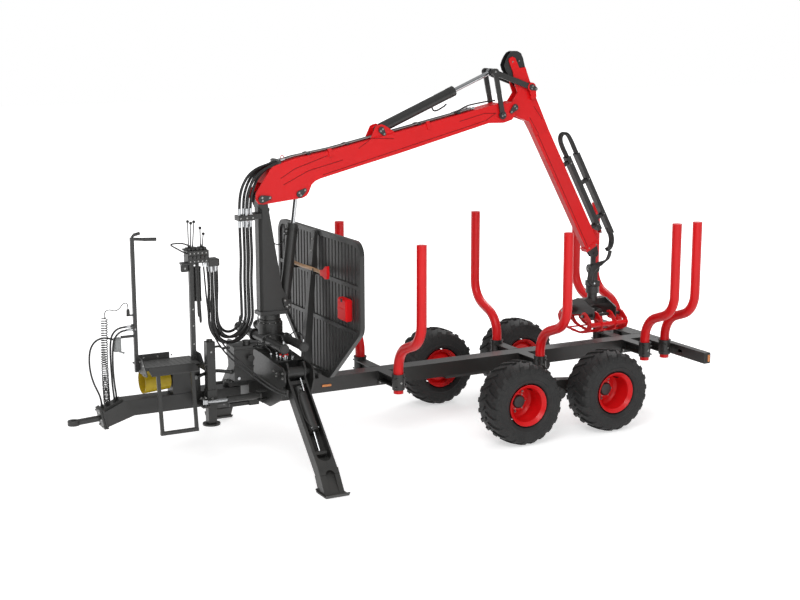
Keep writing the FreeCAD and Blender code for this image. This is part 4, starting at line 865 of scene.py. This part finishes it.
def leg_details(word, side):
    """The leg's own cylinder in its channel, its pipes and its bolts."""
    dark, bright, bolts, brass = [Piece(f"leg_{name}_{word}", f"leg_{word}", material) for name, material in (
        ("cylinder", "dark_paint"), ("pipes", "chrome"), ("bolts", "steel"), ("nipple", "yellow_plastic"))]

    def on_leg(s, n, across=0.0):
        """s down the leg from its upper end, n out from its axis."""
        return Vector((LEG_X + across, side * (LEG_TOP_Y + LEG_ALONG * s + LEG_ACROSS * n),
                       LEG_PIN_Z - LEG_ACROSS * s + LEG_ALONG * n))
    dark.rod(on_leg(0.215, LEG_CYLINDER_N), on_leg(0.69, LEG_CYLINDER_N), 0.057, sides=36)
    dark.rod(on_leg(0.668, LEG_CYLINDER_N), on_leg(0.704, LEG_CYLINDER_N), 0.05, sides=36)
    down = on_leg(1, 0) - on_leg(0, 0)
    dark.band(on_leg(0.3, LEG_CYLINDER_N), down, 0.056, 0.0605, 0.01, 0.008, 36)
    bright.rod(on_leg(0.704, LEG_CYLINDER_N), on_leg(0.93, -0.008), 0.014)
    dark.rod(on_leg(0.93, -0.008, -0.06), on_leg(0.93, -0.008, 0.06), 0.026, sides=24)
    bright.hexagon(on_leg(0.15, 0.1, 0.012), on_leg(0.235, 0.092, 0.012), 0.0105)
    bright.rod(on_leg(0.235, 0.092, 0.012), on_leg(0.285, 0.078, 0.012), 0.0085)
    bright.hexagon(on_leg(0.262, 0.074, -0.02), on_leg(0.262, 0.092, -0.02), 0.01)
    for turn in (-0.035, 0.035):
        bright.hexagon(on_leg(0.69, 0.062, turn), on_leg(0.69, 0.074, turn), 0.008)
    dark.pipe(places(
        on_leg, (0.262, 0.088, -0.02), (0.3, 0.092, -0.05), (0.345, 0.08, -0.066), (0.42, 0.066, -0.068),
        (0.56, 0.064, -0.068), (0.64, 0.072, -0.056), (0.668, 0.08, -0.036)), 0.0055)
    dark.rod(on_leg(1.055, 0.056), on_leg(1.14, 0.056), 0.0022, sides=8)
    brass.rod(on_leg(0.055, 0.082), on_leg(0.055, 0.093), 0.017, 0.014, sides=24)
    for x, face in ((-1.512, -1), (-1.272, 1)):
        bolts.bolt((x - face * 0.022, side * LEG_PIN_Y, LEG_PIN_Z), (face, 0, 0), 0.01)
    finish(dark, bright, bolts, brass)


DRAWBAR_NOSE = Vector((-3.159, 0.0, 0.592))
JACK_X, JACK_Y, CRANK_Z, CRANK_REACH = -2.097, -0.2, 1.22, 0.11
PLUG_X, POST_Y = -2.93, -0.3


def jack_details(dark, bolts):
    """The jack's cap and crank, and the bolts of its tube."""
    def on_jack(x, y, z):
        return JACK_X + x, JACK_Y + y, z
    dark.rod(on_jack(0, 0, 1.281), on_jack(0, 0, 1.3), 0.03, sides=24)
    dark.rod(on_jack(0.043, 0, CRANK_Z), on_jack(0.1, 0, CRANK_Z), 0.011)
    crank_end = on_jack(0.095, -CRANK_REACH, CRANK_Z + 0.002)
    dark.rod(on_jack(0.095, 0, CRANK_Z), crank_end, 0.008)
    dark.rod(crank_end, on_jack(0.165, -CRANK_REACH, CRANK_Z + 0.002), 0.013)
    bolts.bolt(on_jack(0, -0.05, 0.71), (0, -1, 0), 0.012)
    bolts.bolt(on_jack(0, -0.043, 1.18), (0, -1, 0), 0.009)


def front_hose_ends(dark, ends):
    """The couplings at both ends of the front hoses, and the boot where the curly cord ends."""
    for start, after in [(Vector(points[0]), Vector(points[1])) for points in FRONT_ROUTES[:2]]:
        ahead = (after - start).normalized()
        ends.hexagon(start, start + ahead * 0.042, 0.0125)
        ends.rod(start + ahead * 0.042, start + ahead * 0.06, 0.0105)
        ends.rod(start, start - ahead * 0.03, 0.016)
    for before, end in [(Vector(points[-2]), Vector(points[-1])) for points in FRONT_ROUTES]:
        dark.rod(end - (end - before).normalized() * 0.03, end, 0.0125, 0.017)
    dark.rod(Vector(COIL_ROUTE[-1]) - Vector((0.006, 0.016, -0.026)), COIL_ROUTE[-1], 0.012, 0.022)


def coupling_details(dark):
    """The coupling case, its brackets on the post, and the ribbed plug of the curly cord's lead."""
    grey = Piece("coupling_case", "drawbar", "grey_plastic")
    grey.block((-3.084, -0.321, 1.301), (-3.011, -0.279, 1.439), 0.008)
    grey.block((-3.07, -0.325, 1.318), (-3.025, -0.321, 1.422), 0.003)
    grey.rod((-3.03, POST_Y, 1.302), (-2.99, POST_Y, 1.286), 0.008)
    grey.ball((-2.988, POST_Y, 1.285), 0.011)
    dark.block((-3.012, -0.307, 1.425), (-2.884, -0.293, 1.45), 0.003)
    dark.block((-2.905, -0.351, 1.489), (-2.884, -0.286, 1.551), 0.003)
    dark.block((-2.947, -0.311, 1.632), (-2.884, -0.289, 1.646), 0.003)
    dark.rod((PLUG_X, POST_Y, 1.642), (PLUG_X, POST_Y, 1.698), 0.0165, 0.0145, 24)
    for z in (1.652, 1.664, 1.676):
        dark.band((PLUG_X, POST_Y, z), UP, 0.015, 0.0172, 0.003, 0.001, 24)
    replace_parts(grey.done(), "couplings")


def drawbar_details():
    """The bolts of the tow eye and the king pin, the steering keepers, the jack and the couplings."""
    bolts, dark, ends = pieces(
        "drawbar", drawbar_bolts="steel", drawbar_fittings="dark_paint", front_hose_ends="chrome")
    out = Vector((-0.978, 0.0, -0.208)).normalized()
    across = Vector((0, 1, 0))
    up = out.cross(across).normalized()
    flange = [DRAWBAR_NOSE + across * y + up * z for y in (-0.062, 0.062) for z in (-0.076, 0.0, 0.076)]
    bolts.row(flange, out, 0.012)
    both(lambda side: keeper(dark, bolts, (-2.19, side * 0.3, 0.734), (-1, 0, 0), UP, 0.026, 0.06))
    bolts.ring((-1.79, 0, 0.802), UP, 0.072, 6, 0.01)
    jack_details(dark, bolts)
    front_hose_ends(dark, ends)
    coupling_details(dark)
    finish(bolts, dark, ends)


DECK_LOW, DECK_HIGH = (-2.836, -0.424, 1.139), (-2.282, -0.128, 1.1405)
STUD_X, STUD_Y, STUD_PITCH_X, STUD_PITCH_Y = -2.82, -0.405, 0.052, 0.05
STUD_HALF, STUD_LEAN, STUD_WIDE, STUD_RISE = 0.012, 0.004, 0.002, 0.002
CONTROL_POST = (-2.297, -0.3)
POST_CLEAR = 0.035
GUARD_RIBS = ((0.006, 0.1185), (0.06, 0.1145), (0.12, 0.1095), (0.18, 0.1045), (0.24, 0.1))


def deck_studs():
    """The chequered deck, with no studs where the control post stands."""
    studs = Piece("deck_studs", "drawbar", "tread_plate_painted_sheen")
    # A thin plate over the deck in that lighter grey: painted reflection on the deck's top.
    studs.block(DECK_LOW, DECK_HIGH)
    for i in range(11):
        for k in range(6):
            x, y = STUD_X + STUD_PITCH_X * i, STUD_Y + STUD_PITCH_Y * k
            if max(abs(x - CONTROL_POST[0]), abs(y - CONTROL_POST[1])) < POST_CLEAR:
                continue
            lean = STUD_LEAN if (i + k) % 2 else -STUD_LEAN
            corners = ((-STUD_HALF, -lean - STUD_WIDE), (STUD_HALF, lean - STUD_WIDE),
                       (STUD_HALF, lean + STUD_WIDE), (-STUD_HALF, -lean + STUD_WIDE))
            studs.slab([(x + dx, y + dy, DECK_HIGH[2]) for dx, dy in corners], UP * STUD_RISE)
    return studs


def deck_details():
    """The deck's studs and bolts, the pump's sight glass and the ribs of the shaft guard."""
    bolts = Piece("deck_bolts", "drawbar", "steel")
    bolts.row([(x, -0.118, 1.17) for x in (-2.74, -2.6, -2.46)], (0, -1, 0), 0.008)
    for z in (1.105, 1.195):
        bolts.row([(-2.85, -0.36, z), (-2.85, -0.47, z - 0.02)], (-1, 0, 0), 0.009)
        bolts.bolt((-2.267, -0.4, z), (1, 0, 0), 0.009)
    bolts.row([(CONTROL_POST[0], -0.322, z) for z in (1.3, 1.48, 1.64)], (0, -1, 0), 0.007)
    glass = Piece("pump_sight", "drawbar", "grey_plastic")
    glass.rod((-2.226, -0.138, 0.916), (-2.226, -0.146, 0.916), 0.021, 0.018, 28)
    ribs = Piece("guard_ribs", "drawbar", "yellow_plastic")
    for away, radius in GUARD_RIBS:
        ribs.band((-2.73 + away, 0, 0.905), (1, 0, 0), radius - 0.006, radius + 0.0005, 0.004, 0.003, 64)
    finish(glass, ribs, deck_studs(), bolts)


LEVER_FEET = (-2.316, -2.296, -2.276, -2.196, -2.18)
LEVER_TIPS = (
    (-2.342, -0.372, 2.5), (-2.3, -0.34, 2.478), (-2.262, -0.32, 2.486), (-2.195, -0.3, 2.42),
    (-2.16, -0.29, 2.36))
SLICE_X, SLICE_PITCH, SPOOL_Z, FILTER = -2.325, 0.04, 2.15, (-2.235, -0.3)
LEVER_FOOT_Y, LEVER_FOOT_Z = -0.302, 2.232
GUARD_LOOP = [
    (-2.262, -0.33, 2.205), (-2.285, -0.348, 2.236), (-2.33, -0.352, 2.268), (-2.4, -0.354, 2.296),
    (-2.48, -0.352, 2.296), (-2.508, -0.35, 2.29), (-2.5, -0.35, 2.276), (-2.44, -0.35, 2.24),
    (-2.385, -0.346, 2.206), (-2.345, -0.335, 2.19)]


def lever_details(dark, knobs, bolts):
    """The five slices of the bank, each with its spool, its lever and its bolts."""
    for i, (foot, tip) in enumerate(zip(LEVER_FEET, LEVER_TIPS)):
        x = SLICE_X + SLICE_PITCH * i
        dark.rod((x, -0.384, SPOOL_Z), (x, -0.221, SPOOL_Z), 0.0165)
        dark.block((x - 0.015, -0.349, 2.214), (x + 0.015, -0.256, 2.239), 0.004)
        dark.block((x + 0.0185, -0.37, 2.096), (x + 0.0215, -0.235, 2.216), 0.0005)
        start = (foot, LEVER_FOOT_Y, LEVER_FOOT_Z)
        knobs.rod(start, (foot + (tip[0] - foot) * 0.14, -0.303, 2.268), 0.0095, 0.006, 16)
        knobs.rod(start, tip, 0.0058, 0.0048, sides=12)
        knobs.ball(tip, 0.015, 24)
        bolts.row([(x, -0.37, 2.19), (x, -0.37, 2.112)], (0, -1, 0), 0.006)


def valve_details():
    """The valve bank: its slices, spool ends, levers with knobs, guard loop and outlet unions."""
    dark, knobs, steel, bolts = pieces(
        "drawbar", valve_slices="dark_paint", lever_knobs="black_plastic", lever_rods="chrome",
        valve_bolts="steel")
    dark.block((-2.345, -0.368, 2.092), (-2.135, -0.237, 2.214), 0.004)
    dark.block((-2.399, -0.344, 2.076), (-2.262, -0.256, 2.099), 0.003)
    dark.block((-2.139, -0.371, 2.051), (-2.031, -0.246, 2.121), 0.005)
    lever_details(dark, knobs, bolts)
    dark.pipe(GUARD_LOOP, 0.0075)
    for top, low, radius in ((2.045, 1.725, 0.034), (1.735, 1.715, 0.036), (2.05, 2.035, 0.036)):
        dark.rod((*FILTER, top), (*FILTER, low), radius, sides=28)
    for x, low in ((-2.262, 1.56), (-2.246, 1.5)):
        dark.pipe([(x, -0.345, 2.085), (x + 0.004, -0.352, 1.98), (x + 0.002, -0.354, 1.8),
                   (x + 0.006, -0.352, low + 0.1), (x + 0.012, -0.34, low + 0.025), (x + 0.028, -0.315, low),
                   (x + 0.04, -0.29, low + 0.03), (x + 0.042, -0.272, low + 0.11),
                   (x + 0.036, -0.262, 1.9), (x + 0.034, -0.262, 2.08)], 0.0085)
    dark.block((-2.392, -0.3, 2.004), (-2.322, -0.262, 2.078), 0.006)
    dark.block((-2.372, -0.34, 2.214), (-2.318, -0.27, 2.232), 0.003)
    bolts.bolt((-2.357, -0.3, 2.04), (0, -1, 0), 0.008)
    outlets = [(loop, 0.045, 0.017, 24) for loop, _, _, _ in main_routes]
    outlets += [(route, 0.03, 0.0115, 6) for route in LEG_ROUTES]
    for points, length, wide, sides in outlets:
        start = Vector(points[0])
        ahead = (Vector(points[1]) - start).normalized()
        steel.rod(start, start + ahead * length, wide, sides=sides)
        steel.rod(start + ahead * length, start + ahead * (length + 0.012), wide * 0.92, wide * 0.8, 24)
    finish(knobs, steel, bolts)
    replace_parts(dark.done(), "valve_block")


LIFT_PIN = Vector((-1.212, 0.0, 1.535))
# The clamp's ferrules on a hose: foot, height, radius at the foot, radius at the top, sides.
FERRULES = (
    (2.392, 0.048, 0.0165, 0.0165, 24), (2.428, 0.012, 0.0205, 0.0205, 6), (2.49, 0.048, 0.0165, 0.0165, 24),
    (2.49, 0.012, 0.0205, 0.0205, 6), (2.372, 0.02, 0.0155, 0.016, 24), (2.538, 0.018, 0.016, 0.0155, 24))


def column_details():
    """The lift pin's keepers, the column's seams, and the hose clamp's ferrules and bolts."""
    bolts, dark, bright = pieces(
        "column", column_bolts="steel", column_fittings="dark_paint", hose_ferrules="chrome")
    for side in SIDES:
        keeper(dark, bolts, (LIFT_PIN[0], side * 0.092, LIFT_PIN[2]), (-0.5, 0, 0.86), (0, side, 0))
        dark.block((-1.462, side * 0.074, 1.494), (-1.214, side * 0.077, 1.504), 0.0005)
    for _, _, _, clamp in main_routes:
        for foot, height, radius, end_radius, sides in FERRULES:
            bright.post((clamp.x, clamp.y, foot), height, radius, end_radius, sides)
    bolts.row([(x, -0.19, 2.465) for x in (-1.735, -1.67, -1.608)], (0, -1, 0), 0.008)
    finish(bolts, dark, bright)


BOOM_ALONG = (on_boom(1, 0, 0) - on_boom(0, 0, 0)).normalized()
BOOM_UP = (on_boom(0, 0, 1) - on_boom(0, 0, 0)).normalized()
BOOM_SIDE = 0.0885
BOOM_SEAMS = (
    ((0.7, 0.02), (2.66, -0.028)), ((0.25, 0.13), (0.42, 0.175), (0.8, 0.19)),
    ((0.26, 0.06), (0.56, 0.11), (0.95, 0.095)), ((1.15, 0.15), (1.32, 0.205)),
    ((1.56, 0.125), (1.32, 0.205)), ((2.66, -0.028), (2.8, 0.01), (2.66, 0.05), (2.35, 0.06)))
TOP_PIPES = ((0.33, 0.288), (0.47, 0.284), (0.876, 0.236), (1.452, 0.198), (2.0, 0.163), (2.56, 0.128))
TIP_PIPE = ((2.33, -0.05, 0.15), (2.4, -0.052, 0.168), (2.5, -0.05, 0.185), (2.62, -0.04, 0.17),
            (2.76, -0.03, 0.15), (2.86, -0.02, 0.13))
PIPE_CLIPS = ((0.62, 0.266), (1.06, 0.222), (1.9, 0.169), (2.38, 0.139))
EYE_U, EYE_W, EYE_R = 0.36, 0.312, 0.017


def upright(u0, u1, y, w0, w1):
    """The corners of an upright plate across the boom."""
    return places(on_boom, (u0, y, w0), (u1, y, w0), (u1, y, w1), (u0, y, w1))


def boom_pins(plates, bolts, side):
    """The keepers of the boom's pins on one side, and the washer with two bolts near its tip."""
    out = Vector((0, side, 0))
    along, up = BOOM_ALONG, BOOM_UP
    keeper(plates, bolts, on_boom(0, side * 0.1, 0), along - up * 0.15, out, 0.04, 0.1)
    keeper(plates, bolts, on_boom(0.401, side * 0.092, -0.083), along * 0.9 + up * 0.3, out)
    keeper(plates, bolts, on_boom(1.452, side * 0.08, 0.25), along * 0.4 - up, out, 0.034, 0.07)
    keeper(plates, bolts, on_boom(3.039, side * 0.096, 0), along * -0.9 - up * 0.5, out)
    washer = on_boom(2.863, side * 0.118, -0.032)
    plates.rod(washer, washer + out * 0.009, 0.031)
    bolts.row([washer + out * 0.009 + along * shift for shift in (0.014, -0.014)], out, 0.0085)


def boom_lines(pipes, lines, bright):
    """The four pipes along the boom's top with their unions, and the bent pipe and coil near its tip."""
    for y in (-0.046, -0.029, 0.029, 0.046):
        points = [on_boom(u, y, w + (0.008 if y < -0.04 else 0.0)) for u, w in TOP_PIPES]
        (lines if abs(y) > 0.04 else pipes).chain(points, 0.008, 12)
        bright.hexagon(points[0] - BOOM_ALONG * 0.03, points[0] + BOOM_ALONG * 0.03, 0.0125)
        bright.hexagon(points[-1] - BOOM_ALONG * 0.02, points[-1] + BOOM_ALONG * 0.02, 0.011)
    pipes.pipe(places(on_boom, *TIP_PIPE), 0.008)
    for i in range(14):
        bright.band(on_boom(2.33 + 0.015 * i, 0.01, 0.15), BOOM_ALONG, 0.009, 0.0125, 0.003, 0.003, 16)


def boom_details():
    """The boom's pins, seams, pipes with their clips, the hose clamp and the lifting eye."""
    bolts, plates, pipes, lines, bright, red, seams = pieces(
        "boom", boom_bolts="steel", boom_keepers="dark_paint", boom_pipes="hose", boom_lines="steel",
        boom_unions="chrome", boom_tabs="red_paint", boom_seams="red_seam_painted_shade")
    for side in SIDES:
        boom_pins(plates, bolts, side)
        for seam in BOOM_SEAMS:
            # The seam ridges take the darker red: painted shade along the boom's seams.
            seams.chain([on_boom(u, side * BOOM_SIDE, w) for u, w in seam], 0.0036, 8)
    boom_lines(pipes, lines, bright)
    for u, w in PIPE_CLIPS:
        plates.slab(upright(u - 0.018, u + 0.018, -0.062, w - 0.02, w + 0.012), (0, 0.124, 0))
        bolts.bolt(on_boom(u, 0, w + 0.012), BOOM_UP, 0.008)
    plates.slab(upright(0.262, 0.302, -0.088, 0.272, 0.312), (0, 0.176, 0))
    bolts.row([on_boom(0.282, y, 0.312) for y in (-0.08, 0.0, 0.08)], BOOM_UP, 0.008)
    for u, w in ((1.962, 0.165), (0.815, 0.24)):
        red.slab(places(on_boom, (u, -0.102, w - 0.07), (u + 0.04, -0.102, w - 0.07),
                        (u + 0.04, -0.102, w + 0.012), (u, -0.102, w + 0.016)), (0, 0.016, 0))
    turns = [math.tau * i / 16 for i in range(17)]
    eye = [on_boom(EYE_U + EYE_R * math.cos(a), 0.0, EYE_W + EYE_R * math.sin(a)) for a in turns]
    red.chain(eye, 0.004, 8)
    finish(bolts, plates, pipes, lines, bright, red, seams)


STICK_DOWN = (on_stick(1, 0, 0) - on_stick(0, 0, 0)).normalized()
STICK_OUT = (on_stick(0, 0, 1) - on_stick(0, 0, 0)).normalized()
FORK_PIN = Vector(frame_joint("link_fork_swing"))
STICK_SEAMS = (
    (0.0465, (0.425, 0.145), (1.885, 0.145)), (0.0585, (0.2, 0.13), (0.415, 0.15)),
    (0.0585, (0.12, 0.23), (0.3, 0.262)))


def fork_ears(red, out):
    """The stick's ear at the fork's pin on one side: a rounded plate on a thick root."""
    def ear(off, down, ahead):
        return FORK_PIN + out * off + STICK_DOWN * down + STICK_OUT * ahead
    turns = [math.radians(a) for a in range(60, 301, 20)]
    outline = [ear(0.0935, math.cos(a) * 0.05, math.sin(a) * 0.05) for a in turns]
    red.slab(outline + places(ear, (0.0935, 0.12, -0.06), (0.0935, 0.12, 0.005)), out * 0.0045)
    red.slab(places(ear, (0.057, 0.08, -0.06), (0.057, 0.08, 0.018), (0.057, 0.12, 0.005),
                    (0.057, 0.12, -0.06)), out * 0.037)


def stick_hoses(lines, bright):
    """The hose bundle's loop in the guide at the boom's tip, its loop at the stick's end, and the unions."""
    for y in (-0.0225, -0.0075, 0.0075, 0.0225):
        for inset in (0.0, 0.015):
            lines.pipe(places(
                on_stick, (1.0, y, 0.378 + inset), (0.86, y, 0.378 + inset), (0.7, y, 0.372 + inset),
                (0.612 + inset, y, 0.396 + inset * 0.5), (0.582 + inset, y, 0.45),
                (0.618 + inset, y, 0.508 - inset * 0.5), (0.72, y, 0.522 - inset), (0.88, y, 0.518 - inset),
                (1.04, y, 0.518 - inset)), 0.0085)
        for inset in (0.0, 0.02):
            lines.pipe(places(
                on_stick, (1.85, y, 0.514 - inset), (1.94, y, 0.514 - inset),
                (2.01 - inset * 0.6, y - 0.01, 0.49 - inset * 0.8), (2.06 - inset, y - 0.03, 0.43),
                (2.06 - inset, y * 0.6 - 0.07, 0.37), (2.04 - inset, y * 0.6 - 0.092, 0.325)), 0.0115)
    for y in (-0.03, -0.01, 0.01, 0.03):
        bright.hexagon(on_stick(1.8, y, 0.395), on_stick(1.85, y, 0.38), 0.01)


def link_bolts():
    """The bolt ends of the pin where the link bars meet the link fork."""
    nuts = Piece("link_bolts", "link_bars", "steel")
    low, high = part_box("link_bars")
    both(lambda side: nuts.bolt((low[0] + 0.034, side * 0.116, high[2] - 0.034), (0, side, 0), 0.011))
    nuts.done()


def stick_details():
    """The stick's pins, seams, ears, bolts and hose bundle."""
    bolts, plates, lines, bright, red, seams = pieces(
        "stick", stick_bolts="steel", stick_keepers="dark_paint", stick_hose_loop="hose",
        stick_unions="chrome", stick_ears="red_paint", stick_seams="red_seam_painted_shade")
    for side in SIDES:
        out = Vector((0, side, 0))
        tail = STICK_DOWN * 0.2 + Vector((0.9, 0, -0.2))
        keeper(plates, bolts, FORK_PIN + out * 0.098, tail, out, 0.034, 0.07)
        for y, start, end in STICK_SEAMS:
            # The seam ridges take the darker red: painted shade along the stick's seams.
            seams.chain([on_stick(s, side * y, n) for s, n in (start, end)], 0.0034, 8)
        fork_ears(red, out)
        ends = ((-0.4, 0.058, 0.29), (-0.43, 0.058, 0.215), (1.905, 0.054, 0.15), (1.92, 0.054, 0.25))
        bolts.row([on_stick(s, side * y, n) for s, y, n in ends], out, 0.008)
        guides = ((0.93, 0.38), (1.73, 0.38), (1.21, 0.51), (1.67, 0.51))
        bolts.row([on_stick(s, side * 0.04, n) for s, n in guides], out, 0.007)
    stick_hoses(lines, bright)
    finish(bolts, plates, lines, bright, red, seams)
    link_bolts()


def cylinder_details(name, foot, head, length, radius):
    """Gland rings, ports and pipes on the lift or the stick cylinder."""
    run = (head - foot).normalized()
    side = Vector((-run.z, 0, run.x))
    dark = Piece(f"{name}_glands", f"{name}_barrel", "dark_paint")
    bright = Piece(f"{name}_ports", f"{name}_barrel", "chrome")
    for shift in (-0.07, -0.048):
        dark.band(foot + run * (length + shift), run, radius - 0.001, radius + 0.003, 0.004, 0.003, 40)
    if name == "lift":
        for place in (0.09, length - 0.11):
            spot = foot + run * place + side * (radius - 0.004)
            dark.rod(spot, spot + side * 0.02, 0.014)
            bright.hexagon(spot + side * 0.02, spot + side * 0.032, 0.011)
    else:
        low = foot + run * (length - 0.3) - side * (radius + 0.006)
        bends = ((0.0, 0.006), (-0.004, -0.026), (0.026, -0.046), (0.085, -0.048), (0.15, -0.04))
        dark.pipe([low + run * along + side * off for along, off in bends], 0.0085)
        bright.hexagon(low + run * 0.146 - side * 0.04, low + run * 0.172 - side * 0.034, 0.012)
    finish(dark, bright)


ROTATOR_X = frame_joint("rotator_spin")[0]


def hanger_details():
    """The hanger's bolts, the rotator's ports and the hose bundle that hangs beside them."""
    bolts, dark, lines = pieces(
        "hanger", hanger_bolts="steel", rotator_ports="chrome", rotator_hoses="hose")
    x = ROTATOR_X
    bolts.ring((x, 0, 1.449), UP, 0.044, 4, 0.009, math.pi / 4)
    bolt_z = frame_joint("hanger_swing")[2] - 0.175
    for side in SIDES:
        bolts.bolt((x + side * 0.058, 0, bolt_z), (side, 0, 0), 0.012)
        dark.hexagon((x - 0.03, side * 0.06, 1.43), (x - 0.03, side * 0.082, 1.43), 0.011)
    for away in (0.0, 0.016, 0.032, 0.048, 0.064):
        lines.pipe([
            (x + 0.118 + away * 0.4, -0.14, 1.8), (x + 0.108 + away * 0.5, -0.138, 1.725 + away * 0.4),
            (x + 0.045 + away, -0.124, 1.655 + away * 0.5), (x - 0.045 - away * 0.3, -0.108, 1.6 + away),
            (x - 0.088 - away * 0.7, -0.096, 1.52), (x - 0.086 - away * 0.6, -0.086, 1.45),
            (x - 0.045 - away * 0.3, -0.07, 1.425 - away * 0.3)], 0.0115)
    finish(bolts, dark, lines)


def grapple_details():
    """The bolts of the grapple's pins, and its own cylinder across the body."""
    bolts, barrel, rod = pieces(
        "grapple", grapple_bolts="steel", grapple_cylinder="dark_paint", grapple_rod="chrome")
    x, pin_z = ROTATOR_X, frame_joint("jaw_left_swing")[2]
    for side in SIDES:
        for end in SIDES:
            bolts.bolt((x + end * 0.268, side * 0.195, pin_z), (end, 0, 0), 0.014)
    high = pin_z + 0.02
    barrel.rod((x, -0.15, high), (x, 0.06, high), 0.042, sides=28)
    rod.rod((x, 0.06, high), (x, 0.16, high), 0.02)
    finish(bolts, barrel, rod)


for word, side in (("left", -1), ("right", 1)):
    leg_details(word, side)
    for end in ("front", "rear"):
        wheel(word, end, side)
frame_details()
lamp_details()
tools_details()
crane_base_details()
drawbar_details()
deck_details()
valve_details()
column_details()
boom_details()
stick_details()
cylinder_details("lift", LIFT_PIN, on_boom(0.401, 0, -0.083), 0.828, 0.056)
cylinder_details("stick", Vector(frame_joint("stick_barrel_swing")), on_boom(2.893, 0, 0.43), 0.965, 0.054)
hanger_details()
grapple_details()


# ---------------------------------------------------------------- stage

def flat_material(name, colour, lift):
    """The pale stage. Camera and mirror rays see it brighter, and white far off, so it reads as white."""
    s = Shader(name)
    s.set(Base_Color=s.ramp(s.noise(0.4, 2.0), [(0.3, tint(colour, 0.995)), (0.7, colour)]), Roughness=0.9)
    s.bsdf.inputs["Emission Color"].default_value = (1.0, 1.0, 1.0, 1.0)
    away = s.node("ShaderNodeVectorMath", operation="LENGTH")
    s.link(s.place, away.inputs[0])
    glow = s.spread(away.outputs["Value"], lift, 1.0, 3.0, 9.0)
    s.set(Emission_Strength=s.combine("MULTIPLY", s.seen_directly("Is Glossy Ray"), glow))
    return s.material


def lay_floor():
    """The wide floor under the wheels."""
    bpy.ops.mesh.primitive_plane_add(size=120.0, location=(0.0, 0.0, -0.0005))
    floor = bpy.context.object
    floor.name = "floor"
    floor.data.materials.append(flat_material("floor", (0.86, 0.86, 0.86), 0.55))


def make_world():
    """A grey sky that lights from above; the camera sees plain white in its place."""
    world = bpy.data.worlds.new("world")
    bpy.context.scene.world = world
    world.use_nodes = True
    s = Nodes(world.node_tree)
    sky = s.tree.nodes["Background"]
    sky.inputs["Strength"].default_value = 0.62
    height = s.node("ShaderNodeSeparateXYZ")
    s.link(s.coordinates["Generated"], height.inputs[0])
    greys = [(place, (grey, grey, grey)) for place, grey in ((0.0, 0.22), (0.2, 0.45), (0.75, 1.0))]
    s.link(s.ramp(height.outputs["Z"], greys), sky.inputs["Color"])
    white = s.node("ShaderNodeBackground", Color=(1.0, 1.0, 1.0, 1.0), Strength=1.0)
    choose = s.node("ShaderNodeMixShader")
    sources = (s.seen_directly("Is Transmission Ray"), sky.outputs[0], white.outputs[0])
    for source, target in zip(sources, choose.inputs):
        s.link(source, target)
    s.link(choose.outputs[0], s.tree.nodes["World Output"].inputs["Surface"])


def lamp(name, at, towards, size, power):
    """A round area lamp, turned towards a point."""
    data = bpy.data.lights.new(name, "AREA")
    data.shape = "DISK"
    data.size = size
    data.energy = power
    made = bpy.data.objects.new(name, data)
    made.location = at
    made.rotation_euler = (Vector(towards) - Vector(at)).to_track_quat("-Z", "Y").to_euler()
    collection.objects.link(made)


lay_floor()
make_world()
lamp("key", (-7.0, -9.0, 11.0), (0.0, 0.0, 1.0), 7.0, 720.0)
lamp("fill", (-1.0, -14.0, 4.0), (0.0, 0.0, 1.5), 8.0, 270.0)
lamp("rim", (9.0, 8.0, 9.0), (0.0, 0.0, 1.5), 6.0, 420.0)

bpy.context.scene.view_settings.view_transform = "Standard"
